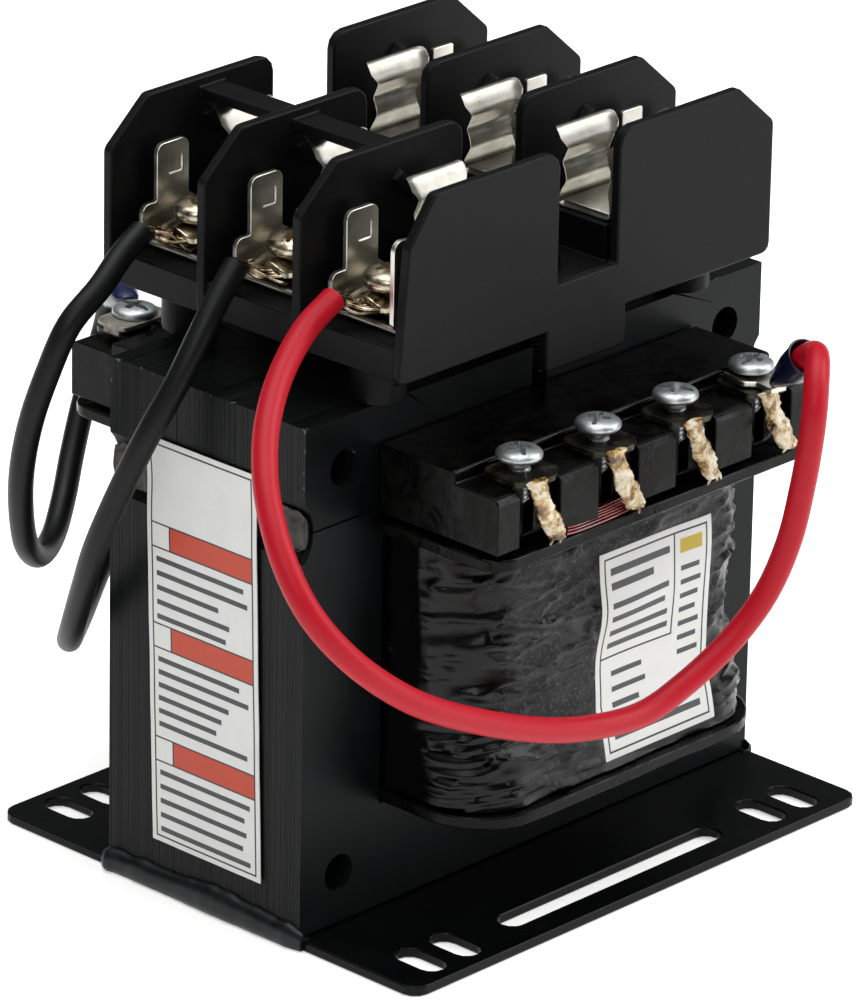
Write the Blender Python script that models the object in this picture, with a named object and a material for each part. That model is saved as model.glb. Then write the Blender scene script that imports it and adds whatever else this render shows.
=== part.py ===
"""Control transformer: a welded lamination core on a slotted foot plate, a taped coil,
two screw terminal boards and a three-pole fuse block wired on top.

Frame: +X runs along the front face, -Y is the front with the coil label, +Z is up, and
the origin is the centre of the foot plate's underside. Sizes are in millimetres, and MM
turns them to Blender's metres.
"""

import math

import bmesh
import bpy
from mathutils import Matrix, Vector

MM = 0.001
GAP = 0.3                       # clearance between pieces that touch

# Lamination core
CORE_WIDTH = 95.25              # along X
CORE_DEPTH = 38.8               # stack thickness along Y
CORE_HEIGHT = 77.8
LEG = 15.9                      # outer legs and yokes
CENTRE_LEG = 31.75
BOLT_HOLE = 5.6
BOLT_HOLE_INSET = 7.8
SCOOP_HEIGHT = 9.0              # hollow along each side that takes the joint weld
SCOOP_DEPTH = 1.8
BEAD_WIDTH = 6.4
BEAD_RISE = 1.1

# Foot plate
PLATE_LENGTH = 84.6             # along Y
PLATE_THICKNESS = 1.5
PLATE_CORNER = 2.5
PLATE_NOTCH = 1.5               # how far the plate's side edges step in under the core
NOTCH_CORNER = 3.0
SLOT_WIDTH = 4.3
SHORT_SLOT = 8.6
SLOT_ROW = 35.8                 # slot centre lines from the middle
SHORT_SLOT_INSETS = (14.925, 7.825)     # their centre lines from the plate's side edge
SLOT_WEB = 7.55                 # metal left between the long slot and the nearest short one
FOOT_WELD = 2.2                 # leg of the fillet weld at the foot
WELD_RIPPLE = 3.1               # pitch of the weld's ripples

# Coil
FORM_CLEARANCE = 0.35           # between the centre leg and the coil form
FORM_WALL = 1.2
FLANGE = 1.8
LOWER_FLANGE_REACH = 39.5
LOWER_FLANGE_CORNER = 11.0
UPPER_FLANGE_REACH = 43.2
UPPER_FLANGE_WIDTH = 67.0
UPPER_FLANGE_CORNER = 4.0
UPPER_FLANGE_Z = 60.5           # its underside
PRIMARY_SHARE = 0.536           # of the room that the two windings fill
INSULATION = 0.6
WRAP = 0.8
WRAP_FLANK = 0.7                # its thickness in the core's windows
WRAP_CORNER = 11.0
WRAP_CROWN = 1.0                # how far the wrap's front and back swell past its flanks
WRAP_LEVELS = 7
COIL_CORNER = 1.5               # corner radius of the innermost turn

# Terminal boards
BOARD_WIDTH = 66.0
BOARD_REACH = 42.5              # front face from the middle
BOARD_BOTTOM = 63.2
BOARD_DECK = 71.8               # top of the front half, which carries the terminals
BOARD_BACK_TOP = 73.6
BOARD_DECK_DEPTH = 8.3          # from the front face to the step behind the terminals
TERMINAL_PITCH = 16.2
TERMINAL_COUNT = 4
TERMINAL_INSET = 4.3            # screw axis behind the board's front face
POCKET_WIDTH = 8.2
POCKET_DEPTH = 2.4
BOARD_CHAMFER = 1.2

# Screws
SHANK = 3.5
SHANK_HOLE = 4.3
HEAD = 7.2
HEAD_HEIGHT = 2.5
BOARD_SCREW_LENGTH = 8.0
SLOT_CUT = 0.9
BACKED_OUT = 1.3                # how far the unused front screws stand up

# Terminal lugs on the boards
LUG_THICKNESS = 0.8
LUG_WIDTH = 9.0
TAIL_WIDTH = 3.6
TAIL_DROP = 9.6
TAIL_SLANT = 4.6
TAIL_THICKNESS = 1.8
TAIL_STEPS = 5

# Fuse block
BLOCK_LENGTH = 78.0             # along X
BLOCK_SHIFT = 0.8               # it sits a little behind the middle in its screw holes
POLE_PITCH = 18.8
POLES = 3
WALL = 1.6
WALL_BOTTOM = 6.3               # heights here are above the core's top
WALL_TOP = 33.1
WALL_SHOULDER = 26.5
WALL_CHAMFER = 7.6
NOTCH_WIDTH = 12.4
NOTCH_BOTTOM = 12.9
NOTCH_CORNER_TOP = 2.6
WEB_WIDTH = 16.4
FLOOR_TOP = 11.3
FOOT_DIAMETER = 8.0
FOOT_X = 31.7
TIE_X = 18.8                    # cross ties between the walls, left half only
TIE_WIDTH = 4.8
TIE_BELOW_TOP = 1.5
TIE_OVER_CLIP = 1.1             # clear height between a clip's lips and the tie over it
RIB_THICKNESS = 0.8

# Fuse clip terminals
SHEET = 0.8
CLIP_NEAR = 10.0                # inner end from the middle
CLIP_WIDTH = 11.0
CLIP_FLOOR = 17.0
FUSE_DIAMETER = 10.3
CLIP_TOP = 28.9
TERMINAL_EDGE = 33.8            # outer edge of the terminal's base
TERMINAL_INNER = 25.6
TERMINAL_HALF = 6.7
TAB_WIDTH = 6.35
TAB_TOP = 26.3
TAB_EDGE = 33.2
SHOULDER_TOP = 17.8
SHOULDER_EDGE = 35.3
GUARD_TOP = 25.0
BLOCK_SCREW_X = 29.8
BLOCK_HEAD = 7.8
BLOCK_SCREW_LENGTH = 8.6
MOUNT_DEPTH = 6.0               # how far the block's own screws go into the core
PRESSURE_PLATE = 8.4
CONDUCTOR = 2.0

# Leads and their insulated forks
LEAD = 3.7
STRIP_X = 38.3                  # where the insulation ends at the fuse block
STRIP_HEIGHT = 15.8
STRIP_BESIDE = 2.8              # from the pole's screw, along Y
BARREL = 5.4
BARREL_LENGTH = 9.0
FORK = 7.0
FORK_SHEET = 0.8
FORK_REACH = 6.4                # the barrel's root from the screw
FORK_RISE = 1.3                 # and above the fork's underside
WIRE_CLAMP = (10.0, 6.2)
CLAMP_LIP = (4.4, 0.9)          # a lip's length and how far it turns down
CLAMP_PLACE = (-0.4, -0.3)      # its middle from its screw

# Labels
LABEL = 0.25
SIDE_LABEL_WIDTH = 21.8
SIDE_LABEL_HEIGHT = 62.2
SIDE_LABEL_BOTTOM = 8.0
SIDE_LABEL_PLACE = 0.2
COIL_LABEL_WIDTH = 23.3
COIL_LABEL_HEIGHT = 31.4
COIL_LABEL_BOTTOM = 21.2
COIL_LABEL_PLACE = 8.1

# Heights and half sizes worked out from the above
CORE_BOTTOM = PLATE_THICKNESS + GAP
CORE_TOP = CORE_BOTTOM + CORE_HEIGHT
HALF_WIDTH = CORE_WIDTH / 2
HALF_DEPTH = CORE_DEPTH / 2
WINDOW_OUT = HALF_WIDTH - LEG
WINDOW_IN = CENTRE_LEG / 2
WINDOW_BOTTOM = CORE_BOTTOM + LEG
JOINT = CORE_TOP - LEG
LUG_BOTTOM = BOARD_DECK + GAP
LUG_TOP = LUG_BOTTOM + LUG_THICKNESS
COIL_HALF_WIDTH = WINDOW_OUT - 2 * GAP
COIL_ROOM = COIL_HALF_WIDTH - WINDOW_IN - FORM_CLEARANCE - FORM_WALL - 4 * GAP
PRIMARY_BUILD = (COIL_ROOM - INSULATION - WRAP_FLANK) * PRIMARY_SHARE
SECONDARY_BUILD = COIL_ROOM - INSULATION - WRAP_FLANK - PRIMARY_BUILD
LONG_SLOT = 2 * (HALF_WIDTH - SHORT_SLOT_INSETS[0] - SLOT_WIDTH / 2 - SLOT_WEB)
BOARD_BACK_REACH = BOARD_REACH - BOARD_DECK_DEPTH
TERMINAL_REACH = BOARD_REACH - TERMINAL_INSET
FORK_BOTTOM = LUG_TOP + GAP
BLOCK_SEAT = CORE_TOP + FLOOR_TOP + GAP + SHEET + GAP

# The routes run from the end of the insulation at a fuse block pole to the mouth of a
# fork's barrel; the pole is counted from the front
LEADS = [
    {"name": "red_lead", "pole": 0, "screw": ("front", 4), "fork": "red_lead_fork",
     "direction": (-0.16, -0.72, 0.70),
     "route": [(-45.6, -17.0, 93.3), (-52.9, -20.0, 90.2), (-58.9, -23.5, 87.0), (-63.4, -27.0, 83.3),
               (-67.8, -32.0, 78.7), (-70.8, -38.0, 72.6), (-70.6, -43.0, 66.0), (-66.3, -46.5, 59.1),
               (-58.4, -48.5, 52.1), (-49.4, -49.5, 46.7), (-35.7, -50.0, 40.6), (-23.2, -50.0, 36.6),
               (-11.2, -50.5, 35.2), (-2.6, -51.3, 37.7), (4.9, -53.0, 42.6), (9.3, -55.4, 49.2),
               (11.4, -57.6, 57.4), (12.0, -59.2, 66.0), (12.2, -60.2, 73.0), (12.8, -60.2, 77.7),
               (14.5, -58.9, 81.0), (17.2, -56.6, 82.8), (19.9, -53.8, 82.5)]},
    {"name": "black_lead_rear", "pole": 2, "screw": ("rear", 4), "fork": "black_lead_rear_fork", "clamped": True,
     "direction": (0.55, 0.8, -0.25),
     "route": [(-42.6, 22.2, 92.9), (-47.6, 21.5, 89.5), (-53.2, 22.0, 85.1), (-55.9, 23.5, 78.2),
               (-57.3, 25.5, 70.5), (-56.7, 28.0, 62.3), (-54.0, 31.0, 54.3), (-49.4, 34.7, 46.6),
               (-42.6, 39.2, 41.6), (-35.2, 44.0, 41.0), (-29.0, 48.2, 44.0), (-24.0, 51.6, 48.6),
               (-19.6, 54.0, 54.0), (-16.0, 55.4, 59.0), (-13.6, 56.1, 62.6), (-12.9, 55.7, 65.8),
               (-13.4, 54.5, 69.0), (-14.4, 52.7, 71.0)]},
    {"name": "black_lead_middle", "pole": 1, "screw": ("rear", 3), "fork": "black_lead_middle_fork",
     "direction": (0.75, 0.62, -0.2),
     "route": [(-42.6, 3.0, 91.5), (-46.4, 2.6, 87.3), (-50.4, 3.0, 81.2), (-54.2, 5.0, 73.7),
               (-56.2, 8.5, 64.7), (-56.5, 13.0, 55.0), (-53.8, 18.5, 45.8), (-49.9, 24.5, 37.4),
               (-44.4, 31.0, 31.4), (-37.5, 37.5, 28.2), (-29.5, 43.5, 27.9), (-21.0, 48.6, 30.8),
               (-13.0, 51.6, 36.4), (-5.6, 53.0, 43.6), (0.4, 53.6, 50.6), (4.4, 53.7, 56.4),
               (7.0, 53.3, 62.4), (7.6, 52.2, 67.4), (6.2, 50.3, 70.6)]},
]


def finish(name, colour, roughness, metallic=0.0):
    material = bpy.data.materials.new(name)
    material.use_nodes = True
    shader = material.node_tree.nodes["Principled BSDF"]
    shader.inputs["Base Color"].default_value = (*colour, 1.0)
    shader.inputs["Roughness"].default_value = roughness
    shader.inputs["Metallic"].default_value = metallic
    return material


def rounded(corners, steps=4):
    """An outline whose (x, y, radius) corners are turned into arcs."""
    outline = []
    for i, (x, y, radius) in enumerate(corners):
        here = Vector((x, y))
        before = Vector(corners[i - 1][:2]) - here
        after = Vector(corners[(i + 1) % len(corners)][:2]) - here
        if radius <= 0:
            outline.append((x, y))
            continue
        half = before.angle(after) / 2
        reach = radius / math.tan(half)
        centre = here + (before.normalized() + after.normalized()).normalized() * radius / math.sin(half)
        start = here + before.normalized() * reach - centre
        end = here + after.normalized() * reach - centre
        sweep = start.angle_signed(end)
        for step in range(steps + 1):
            turn = Matrix.Rotation(-sweep * step / steps, 2)
            outline.append(tuple(centre + turn @ start))
    return outline


def rectangle(x0, y0, x1, y1, radius=0.0, steps=4):
    return rounded([(x0, y0, radius), (x1, y0, radius), (x1, y1, radius), (x0, y1, radius)], steps)


def circle(x, y, diameter, count=16):
    radius = diameter / 2
    angles = [2 * math.pi * i / count for i in range(count)]
    return [(x + radius * math.cos(a), y + radius * math.sin(a)) for a in angles]


def stadium(x, y, length, width, along_x, steps=3):
    half, across = (length / 2, width / 2)
    dx, dy = (half, across) if along_x else (across, half)
    return rectangle(x - dx, y - dy, x + dx, y + dy, across * 0.999, steps)


def place(axis, u, v, w):
    """A point whose outline lies across the axis and whose w runs along it."""
    return {"X": (w, u, v), "Y": (u, w, v), "Z": (u, v, w)}[axis]


def prism(outline, low, high, axis="Z", holes=()):
    """An outline, with holes through it, pushed from low to high along an axis."""
    form = bmesh.new()
    edges = []
    for loop in (outline, *holes):
        points = [form.verts.new(place(axis, u, v, low)) for u, v in loop]
        edges += [form.edges.new((points[i - 1], points[i])) for i in range(len(points))]
    bmesh.ops.triangle_fill(form, use_beauty=True, edges=edges)
    pushed = bmesh.ops.extrude_face_region(form, geom=form.faces[:])
    moved = [item for item in pushed["geom"] if isinstance(item, bmesh.types.BMVert)]
    bmesh.ops.translate(form, verts=moved, vec=Vector(place(axis, 0, 0, high - low)))
    bmesh.ops.recalc_face_normals(form, faces=form.faces)
    return form


def loft(rings):
    """A closed skin over rings of equally many points, capped at both ends."""
    form = bmesh.new()
    rows = [[form.verts.new(point) for point in ring] for ring in rings]
    for lower, upper in zip(rows, rows[1:]):
        for i in range(len(lower)):
            form.faces.new((lower[i - 1], lower[i], upper[i], upper[i - 1]))
    form.faces.new(rows[0])
    form.faces.new(rows[-1])
    bmesh.ops.recalc_face_normals(form, faces=form.faces)
    return form


def turned(profile, count=10):
    """A round piece on the Z axis from its (radius, height) profile."""
    rings = []
    for radius, height in profile:
        angles = [2 * math.pi * i / count for i in range(count)]
        rings.append([(radius * math.cos(a), radius * math.sin(a), height) for a in angles])
    return loft(rings)


def ribbon(line, thickness):
    """The outline of a bent strip whose lower side follows the line of (u, v) points."""
    points = [Vector(p) for p in line]
    upper = []
    for i, point in enumerate(points):
        sides = []
        if i > 0:
            sides.append((point - points[i - 1]).normalized())
        if i < len(points) - 1:
            sides.append((points[i + 1] - point).normalized())
        along = sum(sides, Vector((0.0, 0.0))).normalized()
        mitre = 1 / max(0.6, along.dot(sides[0]))
        upper.append(point + Vector((-along.y, along.x)) * thickness * mitre)
    return [tuple(p) for p in points] + [tuple(p) for p in reversed(upper)]


def mirrored(form):
    """The same form on the other side of the YZ plane."""
    bmesh.ops.scale(form, verts=form.verts, vec=Vector((-1, 1, 1)))
    bmesh.ops.reverse_faces(form, faces=form.faces)
    return form


def mesh_of(name, form):
    for vertex in form.verts:
        vertex.co *= MM
    mesh = bpy.data.meshes.new(name)
    form.to_mesh(mesh)
    form.free()
    return mesh


def show(name, mesh, material, smooth=None):
    piece = bpy.data.objects.new(name, mesh)
    bpy.context.scene.collection.objects.link(piece)
    if not mesh.materials:
        mesh.materials.append(material)
    if smooth:
        mesh.shade_smooth()
        mesh.set_sharp_from_angle(angle=math.radians(smooth))
    return piece


def solid(name, form, material, smooth=None):
    return show(name, mesh_of(name, form), material, smooth)


def carved(name, forms, cuts=()):
    """One mesh made of overlapping forms joined together, less the cuts."""
    body, *others = [show(f"{name}_form_{i}", mesh_of(name, form), None) for i, form in enumerate(forms)]
    tools = [(piece, "UNION") for piece in others]
    tools += [(show(f"{name}_cut_{i}", mesh_of(name, cut), None), "DIFFERENCE") for i, cut in enumerate(cuts)]
    for tool, operation in tools:
        change = body.modifiers.new(operation.title(), "BOOLEAN")
        change.operation = operation
        change.solver = "EXACT"
        change.object = tool
    seen = body.evaluated_get(bpy.context.evaluated_depsgraph_get())
    mesh = bpy.data.meshes.new_from_object(seen)
    mesh.materials.clear()
    for piece in (body, *[tool for tool, _ in tools]):
        bpy.data.objects.remove(piece, do_unlink=True)
    return mesh


def smooth_path(points, spacing):
    """Points a spacing apart on a smooth curve through the given ones."""
    corners = [Vector(p) for p in points]
    corners = [2 * corners[0] - corners[1], *corners, 2 * corners[-1] - corners[-2]]
    dense = []
    for a, b, c, d in zip(corners, corners[1:], corners[2:], corners[3:]):
        for step in range(24):
            t = step / 24
            dense.append(0.5 * (2 * b + (c - a) * t + (2 * a - 5 * b + 4 * c - d) * t ** 2
                                + (3 * b - a - 3 * c + d) * t ** 3))
    dense.append(corners[-2])
    path = [dense[0]]
    for point in dense[1:]:
        if (point - path[-1]).length >= spacing:
            path.append(point)
    if (path[-1] - dense[-1]).length < spacing / 2:
        path.pop()
    return [*path, dense[-1]]


def tube(name, path, diameters, material):
    """A round tube along a path, with its own diameter at each point."""
    curve = bpy.data.curves.new(name, "CURVE")
    curve.dimensions = "3D"
    curve.bevel_depth = LEAD / 2 * MM
    curve.bevel_resolution = 2
    curve.use_fill_caps = True
    curve.render_resolution_u = 0
    line = curve.splines.new("POLY")
    line.points.add(len(path) - 1)
    for point, place_at, diameter in zip(line.points, path, diameters):
        point.co = (*(place_at * MM), 1.0)
        point.radius = diameter / LEAD
    curve.materials.append(material)
    piece = bpy.data.objects.new(name, curve)
    bpy.context.scene.collection.objects.link(piece)
    return piece


def make_foot_plate(steel):
    edge = HALF_WIDTH
    inner = edge - PLATE_NOTCH
    end = PLATE_LENGTH / 2
    notch = HALF_DEPTH - 1.0
    right = [(edge, -end, PLATE_CORNER), (edge, -notch - PLATE_NOTCH, 0.6), (inner, -notch, 0.6),
             (inner, notch, 0.6), (edge, notch + PLATE_NOTCH, 0.6), (edge, end, PLATE_CORNER)]
    left = [(-x, -y, radius) for x, y, radius in right]
    slots = []
    for side in (-1, 1):
        slots.append(stadium(0, side * SLOT_ROW, LONG_SLOT, SLOT_WIDTH, True))
        for inset in SHORT_SLOT_INSETS:
            reach = HALF_WIDTH - inset
            slots += [stadium(hand * reach, side * SLOT_ROW, SHORT_SLOT, SLOT_WIDTH, False) for hand in (-1, 1)]
    solid("base_plate", prism(rounded(right + left, 3), 0, PLATE_THICKNESS, holes=slots), steel)


def weld_rings(section, length, depth):
    """A weld bead's sections along Y, each swollen or drawn in by the ripples."""
    count = max(4, round(length / WELD_RIPPLE)) * 2
    rings = []
    for i in range(count + 1):
        y = -length / 2 + length * i / count
        swell = depth * (0.5 - (i % 2)) * (1 + 0.3 * math.sin(1.7 * i))
        taper = 0.75 if i in (0, count) else 1.0
        rings.append([(x - swell * out, y, z0 + (z - z0) * taper) for x, z, z0, out in section])
    return rings


def make_foot_welds(weld):
    face = HALF_WIDTH + GAP
    notch = HALF_WIDTH - PLATE_NOTCH + GAP
    foot = CORE_BOTTOM - GAP
    centre = foot
    bulge = FOOT_WELD * 0.8
    section = [(-notch, 0.1, centre, 0), (-notch, foot, centre, 0), (-face, foot, centre, 0),
               (-face, foot + FOOT_WELD, centre, 0), (-face - bulge * 0.6, foot + FOOT_WELD * 0.6, centre, 1),
               (-face - bulge * 0.8, foot - 0.2, centre, 1), (-face - bulge * 0.3, 0.1, centre, 0.5)]
    length = CORE_DEPTH - 4.0
    for name, flip in (("base_weld_left", False), ("base_weld_right", True)):
        form = loft(weld_rings(section, length, 0.35))
        solid(name, mirrored(form) if flip else form, weld)


def scoop(side, low, high):
    """The curve of the hollow at the joint, from low to high, on one side's face."""
    half = SCOOP_HEIGHT / 2
    radius = (half ** 2 + SCOOP_DEPTH ** 2) / (2 * SCOOP_DEPTH)
    points = []
    for i in range(5):
        z = low + (high - low) * i / 4
        inset = math.sqrt(radius ** 2 - (z - JOINT) ** 2) - (radius - SCOOP_DEPTH)
        points.append((side * (HALF_WIDTH - max(0.0, inset)), z))
    return points


def make_core(iron):
    joint = JOINT - GAP / 2
    right = scoop(1, JOINT - SCOOP_HEIGHT / 2, joint)
    window = [(WINDOW_OUT, joint), (WINDOW_OUT, WINDOW_BOTTOM), (WINDOW_IN, WINDOW_BOTTOM), (WINDOW_IN, joint)]
    half = [(HALF_WIDTH, CORE_BOTTOM), *right, *window]
    outline = half + [(-x, z) for x, z in reversed(half)]
    low, high = -HALF_DEPTH, HALF_DEPTH
    across = HALF_WIDTH - BOLT_HOLE_INSET
    holes = [circle(hand * across, CORE_BOTTOM + BOLT_HOLE_INSET, BOLT_HOLE) for hand in (-1, 1)]
    solid("core_e_stack", prism(outline, low, high, "Y", holes), iron)

    right = scoop(1, JOINT + GAP / 2, JOINT + SCOOP_HEIGHT / 2)
    half = [*right, (HALF_WIDTH, CORE_TOP)]
    outline = half + [(-x, z) for x, z in reversed(half)]
    holes = [circle(hand * across, CORE_TOP - BOLT_HOLE_INSET, BOLT_HOLE) for hand in (-1, 1)]
    yoke = prism(outline, low, high, "Y", holes)
    bores = [prism(circle(x, y, SHANK_HOLE, 12), CORE_TOP - MOUNT_DEPTH - 1, CORE_TOP + 1)
             for x, y in mount_places()]
    show("core_i_stack", carved("core_i_stack", [yoke], bores), iron)


def make_joint_welds(weld):
    half = SCOOP_HEIGHT / 2
    radius = (half ** 2 + SCOOP_DEPTH ** 2) / (2 * SCOOP_DEPTH)
    section = []
    for i in range(7):
        z = JOINT + BEAD_WIDTH * (i / 6 - 0.5)
        inset = math.sqrt(radius ** 2 - (z - JOINT) ** 2) - (radius - SCOOP_DEPTH)
        section.append((-HALF_WIDTH + inset - GAP, z, JOINT, 0))
    for share in (0.36, 0.18, 0.0, -0.18, -0.36):
        z = JOINT + BEAD_WIDTH * share
        section.append((-HALF_WIDTH + SCOOP_DEPTH - GAP - BEAD_RISE * math.cos(2 * share), z, JOINT, 1))
    length = CORE_DEPTH - 0.8
    for name, flip in (("joint_weld_left", False), ("joint_weld_right", True)):
        form = loft(weld_rings(section, length, 0.35))
        solid(name, mirrored(form) if flip else form, weld)


def ring_outline(grow, corner):
    """The coil form's outline grown by the build of what is wound on it."""
    x = WINDOW_IN + FORM_CLEARANCE + grow
    y = HALF_DEPTH + FORM_CLEARANCE + grow
    return rectangle(-x, -y, x, y, corner, 5)


def flange_outline(width, reach, corner):
    """A flange that narrows where it passes through the core's windows."""
    inside = WINDOW_OUT - GAP
    edge = HALF_DEPTH + GAP
    if width / 2 <= inside:
        return rectangle(-width / 2, -reach, width / 2, reach, corner, 6)
    x = width / 2
    quarter = [(x, -reach, corner), (x, -edge, 0), (inside, -edge, 0), (inside, edge, 0), (x, edge, 0),
               (x, reach, corner)]
    return rounded(quarter + [(-a, -b, r) for a, b, r in quarter], 4)


def make_coil(moulding, paper, enamel, tape):
    bottom = WINDOW_BOTTOM + GAP
    top = UPPER_FLANGE_Z + FLANGE
    inner = ring_outline(0, 0.5)
    tube_form = prism(ring_outline(FORM_WALL, COIL_CORNER - GAP), bottom, top, holes=[inner])
    lower = flange_outline(2 * (WINDOW_OUT - GAP), LOWER_FLANGE_REACH, LOWER_FLANGE_CORNER)
    upper = flange_outline(UPPER_FLANGE_WIDTH, UPPER_FLANGE_REACH, UPPER_FLANGE_CORNER)
    wider = ring_outline(FORM_WALL / 2, 0.7)
    forms = [tube_form, prism(lower, bottom, bottom + FLANGE, holes=[wider]),
             prism(upper, UPPER_FLANGE_Z, top, holes=[wider])]
    show("coil_form", carved("coil_form", forms), moulding)

    low = bottom + FLANGE + GAP
    high = UPPER_FLANGE_Z - GAP
    layers = (("primary_winding", PRIMARY_BUILD, enamel), ("interwinding_insulation", INSULATION, paper),
              ("secondary_winding", SECONDARY_BUILD, enamel))
    inside = FORM_WALL + GAP
    corner = COIL_CORNER
    for name, build, material in layers:
        outside = inside + build
        form = prism(ring_outline(outside, corner + build), low, high, holes=[ring_outline(inside, corner)])
        solid(name, form, material, 40)
        inside = outside + GAP
        corner += build + GAP
    make_wrap(tape, inside, corner, low, high)


def wrap_swell(height):
    """How far the wrap stands out at a share of its height: layered low down, waisted above."""
    return 0.25 + 0.5 * math.sin(math.pi * min(1.0, height * 1.1)) + 0.9 * max(0.0, 0.28 - height) / 0.28


def wrap_levels():
    """The heights where the wrap's swell is set, and its front's distance from the middle there."""
    flat = HALF_DEPTH + FORM_CLEARANCE + FORM_WALL + PRIMARY_BUILD + INSULATION + SECONDARY_BUILD + 4 * GAP + WRAP
    low = WINDOW_BOTTOM + GAP + FLANGE + GAP
    high = UPPER_FLANGE_Z - GAP
    shares = [i / WRAP_LEVELS for i in range(WRAP_LEVELS + 1)]
    return [(low + (high - low) * share, flat + WRAP_CROWN * wrap_swell(share)) for share in shares]


def wrap_reach(height):
    for (low, near), (high, far) in zip(wrap_levels(), wrap_levels()[1:]):
        if low <= height <= high:
            return near + (far - near) * (height - low) / (high - low)
    return near


def make_wrap(tape, inside, corner, low, high):
    """The tape round the finished coil, swollen front and back between its flanges."""
    inner = ring_outline(inside, corner)
    flank = COIL_HALF_WIDTH
    rings = []
    for z, reach in wrap_levels():
        outline = rectangle(-flank, -reach, flank, reach, WRAP_CORNER, 6)
        rings.append([(x, y, z) for x, y in outline])
    form = loft(rings)
    bore = prism(inner, low - 1, high + 1)
    show("coil_wrap", carved("coil_wrap", [form], [bore]), tape, 50)


def terminal_places():
    first = -TERMINAL_PITCH * (TERMINAL_COUNT - 1) / 2
    return [first + TERMINAL_PITCH * i for i in range(TERMINAL_COUNT)]


def board_forms():
    """The front board's moulded body and its screw holes and pockets."""
    x = BOARD_WIDTH / 2
    near = -(HALF_DEPTH + GAP)
    side = [(near, BOARD_BOTTOM, 0), (-BOARD_REACH, BOARD_BOTTOM, 0), (-BOARD_REACH, BOARD_DECK, BOARD_CHAMFER),
            (-BOARD_BACK_REACH, BOARD_DECK, 0), (-BOARD_BACK_REACH, BOARD_BACK_TOP, 0.5), (near, BOARD_BACK_TOP, 0)]
    body = prism(rounded(side, 2), -x, x, "X")
    cuts = []
    for place_x in terminal_places():
        half = POCKET_WIDTH / 2
        back = -BOARD_REACH + POCKET_DEPTH
        pocket = rectangle(place_x - half, -BOARD_REACH - 1, place_x + half, back, 1.0, 2)
        cuts.append(prism(pocket, BOARD_BOTTOM - 1, BOARD_DECK + 1))
        hole = circle(place_x, -TERMINAL_REACH, SHANK_HOLE, 12)
        cuts.append(prism(hole, BOARD_DECK - BOARD_SCREW_LENGTH, BOARD_DECK + 1))
    return body, cuts


def make_boards(moulding):
    for name, turn in (("front_terminal_board", False), ("rear_terminal_board", True)):
        body, cuts = board_forms()
        mesh = carved(name, [body], cuts)
        board = show(name, mesh, moulding)
        if turn:
            mesh.transform(Matrix.Rotation(math.pi, 4, "Z"))
        board.data.update()


def lug_mesh():
    """A stamped lug at its screw: a washer-like pad whose soldered tail hangs in front."""
    section = circle(0, 0, 2, 6)
    radius = LUG_WIDTH / 2
    front = -(BOARD_REACH - TERMINAL_REACH) - GAP - TAIL_THICKNESS / 2
    half = TAIL_WIDTH / 2
    back = TERMINAL_REACH - BOARD_BACK_REACH - GAP
    pad = rounded([(-radius, back, 2.2), (-radius, front + 1.6, 1.6), (-half, front, 0), (half, front, 0),
                   (radius, front + 1.6, 1.6), (radius, back, 2.2)], 3)
    plate = prism(pad, 0, LUG_THICKNESS, holes=[circle(0, 0, SHANK_HOLE, 12)])
    rings = []
    for i in range(TAIL_STEPS + 1):
        share = i / TAIL_STEPS
        swell = 1 + 0.22 * math.sin(2.2 + 9 * share)
        z = LUG_THICKNESS * 0.9 - TAIL_DROP * share
        x = TAIL_SLANT * share ** 1.2
        wide, deep = half * swell, TAIL_THICKNESS / 2 * (1 if i else 0.7)
        rings.append([(x + a * wide, front + b * deep, z) for a, b in section])
    return carved("lug", [plate, loft(rings)])


def screw_mesh(name, head, length, point=0.6):
    """A pan-head screw whose head's underside is at zero, with a crossed drive slot."""
    r, shank = head / 2, SHANK / 2
    profile = [(shank * point, -length), (shank, -length + 1.2), (shank, 0), (r, 0), (r, HEAD_HEIGHT * 0.45),
               (r * 0.72, HEAD_HEIGHT * 0.9), (r * 0.35, HEAD_HEIGHT)]
    body = turned(profile)
    deep, over = HEAD_HEIGHT * 0.5, HEAD_HEIGHT + 1
    cuts = [prism(rectangle(-r * 0.62, -SLOT_CUT / 2, r * 0.62, SLOT_CUT / 2), deep, over),
            prism(rectangle(-SLOT_CUT / 2, -r * 0.62, SLOT_CUT / 2, r * 0.62), deep, over)]
    return carved(name, [body], cuts)


def make_board_terminals(tinned, zinc):
    lug = lug_mesh()
    screw = screw_mesh("board_screw", HEAD, BOARD_SCREW_LENGTH - 1.5)
    for row, turn in (("front", 0.0), ("rear", math.pi)):
        for number, x in enumerate(terminal_places(), 1):
            spin = Matrix.Rotation(turn, 4, "Z")
            at = spin @ Vector((x, -TERMINAL_REACH, LUG_BOTTOM))
            piece = show(f"{row}_lug_{number}", lug, tinned)
            piece.location = at * MM
            piece.rotation_euler.z = turn
            piece = show(f"{row}_screw_{number}", screw, zinc, 40)
            piece.location = (at + Vector((0, 0, LUG_THICKNESS + screw_lift(row, number)))) * MM
            piece.rotation_euler.z = turn + math.radians(25 * number)


def wall_outline(outer):
    """A wall of the fuse block seen from the front; the outer two reach down to the core."""
    x, notch, web = BLOCK_LENGTH / 2, NOTCH_WIDTH / 2, WEB_WIDTH / 2
    half = [(x, WALL_BOTTOM, 1.5), (x, WALL_SHOULDER, 1.5), (x - WALL_CHAMFER, WALL_TOP, 1.5),
            (notch, WALL_TOP, NOTCH_CORNER_TOP), (notch, NOTCH_BOTTOM, 0.6)]
    foot = [(web, GAP, 0), (web, WALL_BOTTOM, 0)] if outer else []
    right = foot + half
    outline = right + [(-a, b, r) for a, b, r in reversed(right)]
    return [(a, CORE_TOP + b) for a, b in rounded(outline, 3)]


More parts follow.
